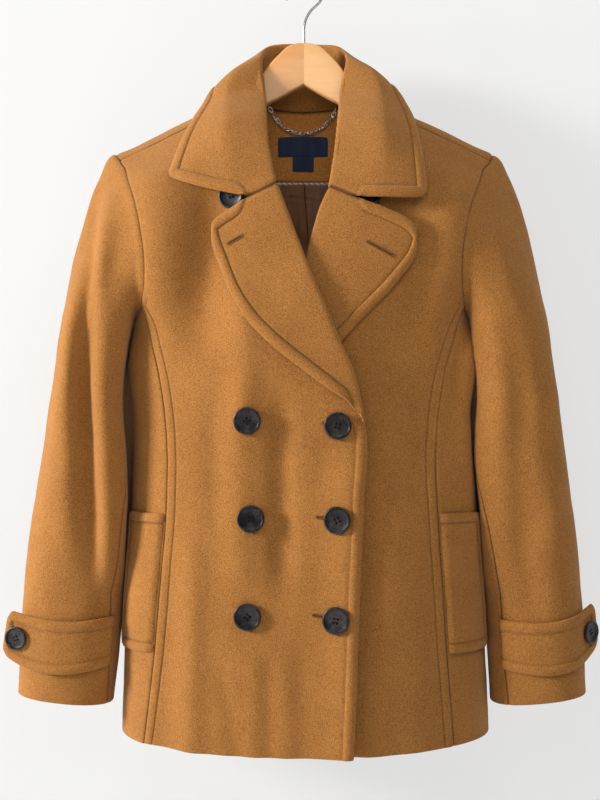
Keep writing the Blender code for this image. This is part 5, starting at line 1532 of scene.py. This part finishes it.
def hangerHalf(name, side, look):
    drop = hanger["armDrop"]
    top = hanger["top"] + [(x, float(ridgeHeight(x)) - drop) for x in hanger["armX"]]
    end = float(ridgeHeight(hanger["armEnd"])) - drop
    top += [(hanger["armEnd"], end - 3), (hanger["armEnd"] + 2, end - 8)]
    under = hanger["under"] + [(x, float(ridgeHeight(x)) - drop - h) for x, h in hanger["underDrop"]]
    under += [(hanger["armEnd"] - 3, end - 15), (hanger["armEnd"], end - 12.5)]
    columns = 64
    bpy.ops.mesh.primitive_grid_add(x_subdivisions=columns, y_subdivisions=2, size=1)
    half = bpy.context.object
    half.name = name
    lines = []
    for line in (under, top):
        line = np.array(line, float)
        step = lengthsAlong(line)
        lines.append(curveThrough(step, line, np.linspace(0, step[-1], columns + 1)))
    lines[0][1:12, 1] = np.interp(lines[0][1:12, 0], *zip(*hanger["under"]))    # straight under the head
    for vertex in half.data.vertices:
        column, share = int(round((vertex.co.x + 0.5) * columns)), vertex.co.y + 0.5
        x, z = lines[0][column] * (1 - share) + lines[1][column] * share
        vertex.co = (side * x * mm, -hanger["halfThickness"] * mm, z * mm)
    bpy.ops.object.mode_set(mode="EDIT")
    bpy.ops.mesh.select_all(action="SELECT")
    bpy.ops.mesh.extrude_region_move(TRANSFORM_OT_translate={"value": (0, 2 * hanger["halfThickness"] * mm, 0)})
    bpy.ops.mesh.select_all(action="SELECT")
    bpy.ops.mesh.normals_make_consistent(inside=False)
    bpy.ops.mesh.select_mode(type="EDGE")
    work = bmesh.from_edit_mesh(half.data)
    edgesWhere(work, lambda edge: len(edge.link_faces) == 2 and edge.calc_face_angle(0) > 0.9
               and not all(abs(v.co.x) < 1e-6 for v in edge.verts))
    bmesh.update_edit_mesh(half.data)
    bpy.ops.mesh.bevel(offset=hanger["round"] * mm, segments=4, affect="EDGES")
    bpy.ops.object.mode_set(mode="OBJECT")
    bpy.ops.object.shade_smooth_by_angle(angle=np.radians(40))
    half.data.materials.append(look)
    return finished(half, "wood", "hanger_wood")


hook = {   # radii of the wire, loop and bend; degrees where the loop starts and how far each turns
    "wire": 1.5, "loop": 20.0, "bend": 32.0, "bendZ": -59.5, "stem": 14.0, "start": 208, "loopTurn": 260,
    "bendTurn": 52,
}


def hangerHook():
    # a wire ring spun round the loop, back through the bend and down into the wood
    wire, loop, start = hook["wire"] * mm, hook["loop"] * mm, np.radians(hook["start"])
    centre = wire - loop
    bpy.ops.mesh.primitive_circle_add(vertices=16, radius=wire, fill_type="NGON",
                                      location=(loop * np.cos(start), 0, centre + loop * np.sin(start)),
                                      rotation=(0, -start, 0))
    ring = bpy.context.object
    ring.name = "hookWire"
    bpy.ops.object.transform_apply(location=True, rotation=True, scale=True)
    bpy.ops.object.mode_set(mode="EDIT")
    bpy.ops.mesh.select_all(action="SELECT")
    bpy.ops.mesh.spin(steps=52, angle=-np.radians(hook["loopTurn"]), center=(0, 0, centre), axis=(0, 1, 0))
    bpy.ops.mesh.spin(steps=14, angle=np.radians(hook["bendTurn"]), center=(hook["bend"] * mm, 0, hook["bendZ"] * mm),
                      axis=(0, 1, 0))
    bpy.ops.mesh.extrude_region_move(TRANSFORM_OT_translate={"value": (0, 0, -hook["stem"] * mm)})
    bpy.ops.mesh.select_all(action="SELECT")
    bpy.ops.mesh.remove_doubles(threshold=0.01 * mm)
    bpy.ops.mesh.normals_make_consistent(inside=False)
    bpy.ops.object.mode_set(mode="OBJECT")
    bpy.ops.object.shade_smooth_by_angle(angle=np.radians(40))
    ring.data.materials.append(hookSteel)
    return finished(ring, "hook_wire", "hanger_hook")


bpy.ops.object.select_all(action="DESELECT")
hangerHalf("hangerArm_right", -1, woodDark)
hangerHalf("hangerArm_left", 1, woodPale)
hangerHook()
print("hanger made")


# buttonholes

holes = {
    # keyholes on the lapels: one end, the other end with the eye, as x and height
    "lapels": {"right": ((-74.5, -294.5), (-62.0, -287.5)), "left": ((62.0, -292.0), (86.5, -305.0))},
    # plain ends that show beside the right column of buttons
    "fronts": {
        "2": ((17.8, -470.5), (26.5, -471.0)), "3": ((12.2, -562.3), (24.0, -563.3)),
        "4": ((8.6, -657.5), (21.5, -659.2)),
    },
    # the fourth number is the half width of the strip of painted shade in each cut
    "pitch": 0.85, "half": 1.15, "eye": 1.5, "shadedSlit": 0.35, "steps": 9,
    "grain": (0.75, 1.35, 1.4),    # its stitches beside those of the seams
}


def buttonholePiece(name, start, end, surface, eye):
    # a dark strip of painted shade along the cut, edged with small stitches across it
    start, end = np.array(start, float), np.array(end, float)
    ahead = unitOf(end - start)
    beside = np.array([-ahead[1], ahead[0]])
    length, half = float(np.linalg.norm(end - start)), holes["half"]
    outline = [(start + ahead * t + beside * half, beside) for t in np.arange(0, length + 0.01, holes["pitch"])]
    for a in np.arange(0.9, -0.91, -0.26) * np.pi if eye else ():
        way = ahead * np.cos(a) + beside * np.sin(a)
        outline.append((end + ahead * 1.2 + way * holes["eye"], way))
    outline += [(start + ahead * t - beside * half, -beside) for t in np.arange(length, -0.01, -holes["pitch"])]
    outline += [(start - ahead * 0.5 + beside * b, -ahead) for b in np.arange(-1.1, 1.2, 0.55)]
    places = np.array([surface(*p) for p, _ in outline])
    ways = unitOf(np.array([surface(*(p + w)) - surface(*(p - w)) for p, w in outline]))
    out = np.broadcast_to((0.0, -1.0, 0.0), places.shape)
    sewnEdge = copiesOf(stitchPlaces * holes["grain"], stitchFaces, places + out * 0.25, ways, out)
    # the dark strip is painted shade, standing for the shadow inside the cut
    shadedSlit = np.array([surface(*(start + ahead * length * t + beside * w)) + (0, -0.06, 0)
                     for t in np.linspace(0, 1, holes["steps"]) for w in (holes["shadedSlit"], -holes["shadedSlit"])])
    quads = [(2 * i, 2 * i + 1, 2 * i + 3, 2 * i + 2) for i in range(holes["steps"] - 1)]
    index = [0] * len(sewnEdge[1]) + [1] * len(quads)
    mesh = newMesh(name, *joined([sewnEdge, (shadedSlit, quads)]), [holeThread, darkThreadAndShade], index)
    return finished(newPiece(mesh), "melton")


def onSkin(skin):    # finds the height of a finished sheet over a place by its nearest points
    flat, depth = skin.reshape(-1, 3)[:, [0, 2]], skin.reshape(-1, 3)[:, 1]

    def surface(x, z):
        gap = np.sum((flat - (x, z)) ** 2, axis=1)
        near = np.argsort(gap)[:6]
        weight = 1 / (gap[near] + 0.05)
        return np.array([x, float(np.sum(depth[near] * weight) / weight.sum()) - 0.1, z])
    return surface


for name in ("right", "left"):
    buttonholePiece("buttonhole_lapel_" + name, *holes["lapels"][name], onSkin(skins["lapel_" + name]), True)
for name, (start, end) in holes["fronts"].items():
    buttonholePiece("buttonhole_front_" + name, start, end, onSkin(skins["front_right"]), False)
print("buttonholes made")


# room and light

room = {"wallY": 0.082, "floorZ": -1.12, "size": 6.0, "wall": (0.24, 0.24, 0.238), "floor": (0.80, 0.80, 0.79),
        "wallGlow": 0.61,    # the wall is lit evenly from behind, which keeps its shadows soft
        "sky": (0.95, 0.97, 1.0, 1), "skyStrength": 0.115}


def plainSurface(name, colour, oneSided, glow=0.0):
    look, tree, shader = newMaterial(
        name, colour, 0.9, Specular_IOR_Level=0.1, Emission_Color=(1, 1, 0.995, 1), Emission_Strength=glow)
    grain = noiseOf(tree, objectPlace(tree), 140, 3)
    tree.links.new(mixColours(tree, grain, tuple(c * 0.985 for c in colour), colour), shader.inputs["Base Color"])
    if oneSided:
        out = tree.nodes["Material Output"]
        clear, mix, facing = (addNode(tree, kind) for kind in ("BsdfTransparent", "MixShader", "NewGeometry"))
        tree.links.new(facing.outputs["Backfacing"], mix.inputs[0])
        tree.links.new(shader.outputs[0], mix.inputs[1])
        tree.links.new(clear.outputs[0], mix.inputs[2])
        tree.links.new(mix.outputs[0], out.inputs["Surface"])
    return look


def roomPlane(name, size, place, turn, look):
    bpy.ops.mesh.primitive_plane_add(size=size, location=place, rotation=turn)
    plane = bpy.context.object
    plane.name = name
    plane.data.materials.append(look)


reach = room["size"] / 2
roomPlane("wall", room["size"], (0, room["wallY"], room["floorZ"] + reach), (np.pi / 2, 0, 0),
          plainSurface("wallPaint", room["wall"], True, room["wallGlow"]))
roomPlane("floor", room["size"], (0, room["wallY"] - reach, room["floorZ"]), (0, 0, 0),
          plainSurface("floorPaint", room["floor"], False))

lights = [   # name, place, height it points at, size, watts, colour
    ("key", (-3.3, -1.1, 0.5), -0.42, 0.75, 216, (1.0, 0.985, 0.96)),
    ("fill", (1.3, -1.2, 1.7), -0.42, 1.2, 24, (0.98, 0.99, 1.0)),
    ("neck", (-0.05, -0.95, 0.05), -0.18, 0.4, 2.2, (1.0, 0.99, 0.97)),
]
for name, place, aimZ, size, watts, colour in lights:
    lamp = bpy.data.lights.new(name, "AREA")
    lamp.size, lamp.energy, lamp.color = size, watts, colour
    holder = bpy.data.objects.new(name, lamp)
    holder.location = place
    aim = Vector((0, 0, aimZ)) - Vector(place)
    holder.rotation_euler = aim.to_track_quat("-Z", "Y").to_euler()
    bpy.context.scene.collection.objects.link(holder)
world = bpy.data.worlds.new("studio")
world.use_nodes = True
background = world.node_tree.nodes["Background"].inputs
background["Color"].default_value, background["Strength"].default_value = room["sky"], room["skyStrength"]
bpy.context.scene.world = world
print("room and light made")
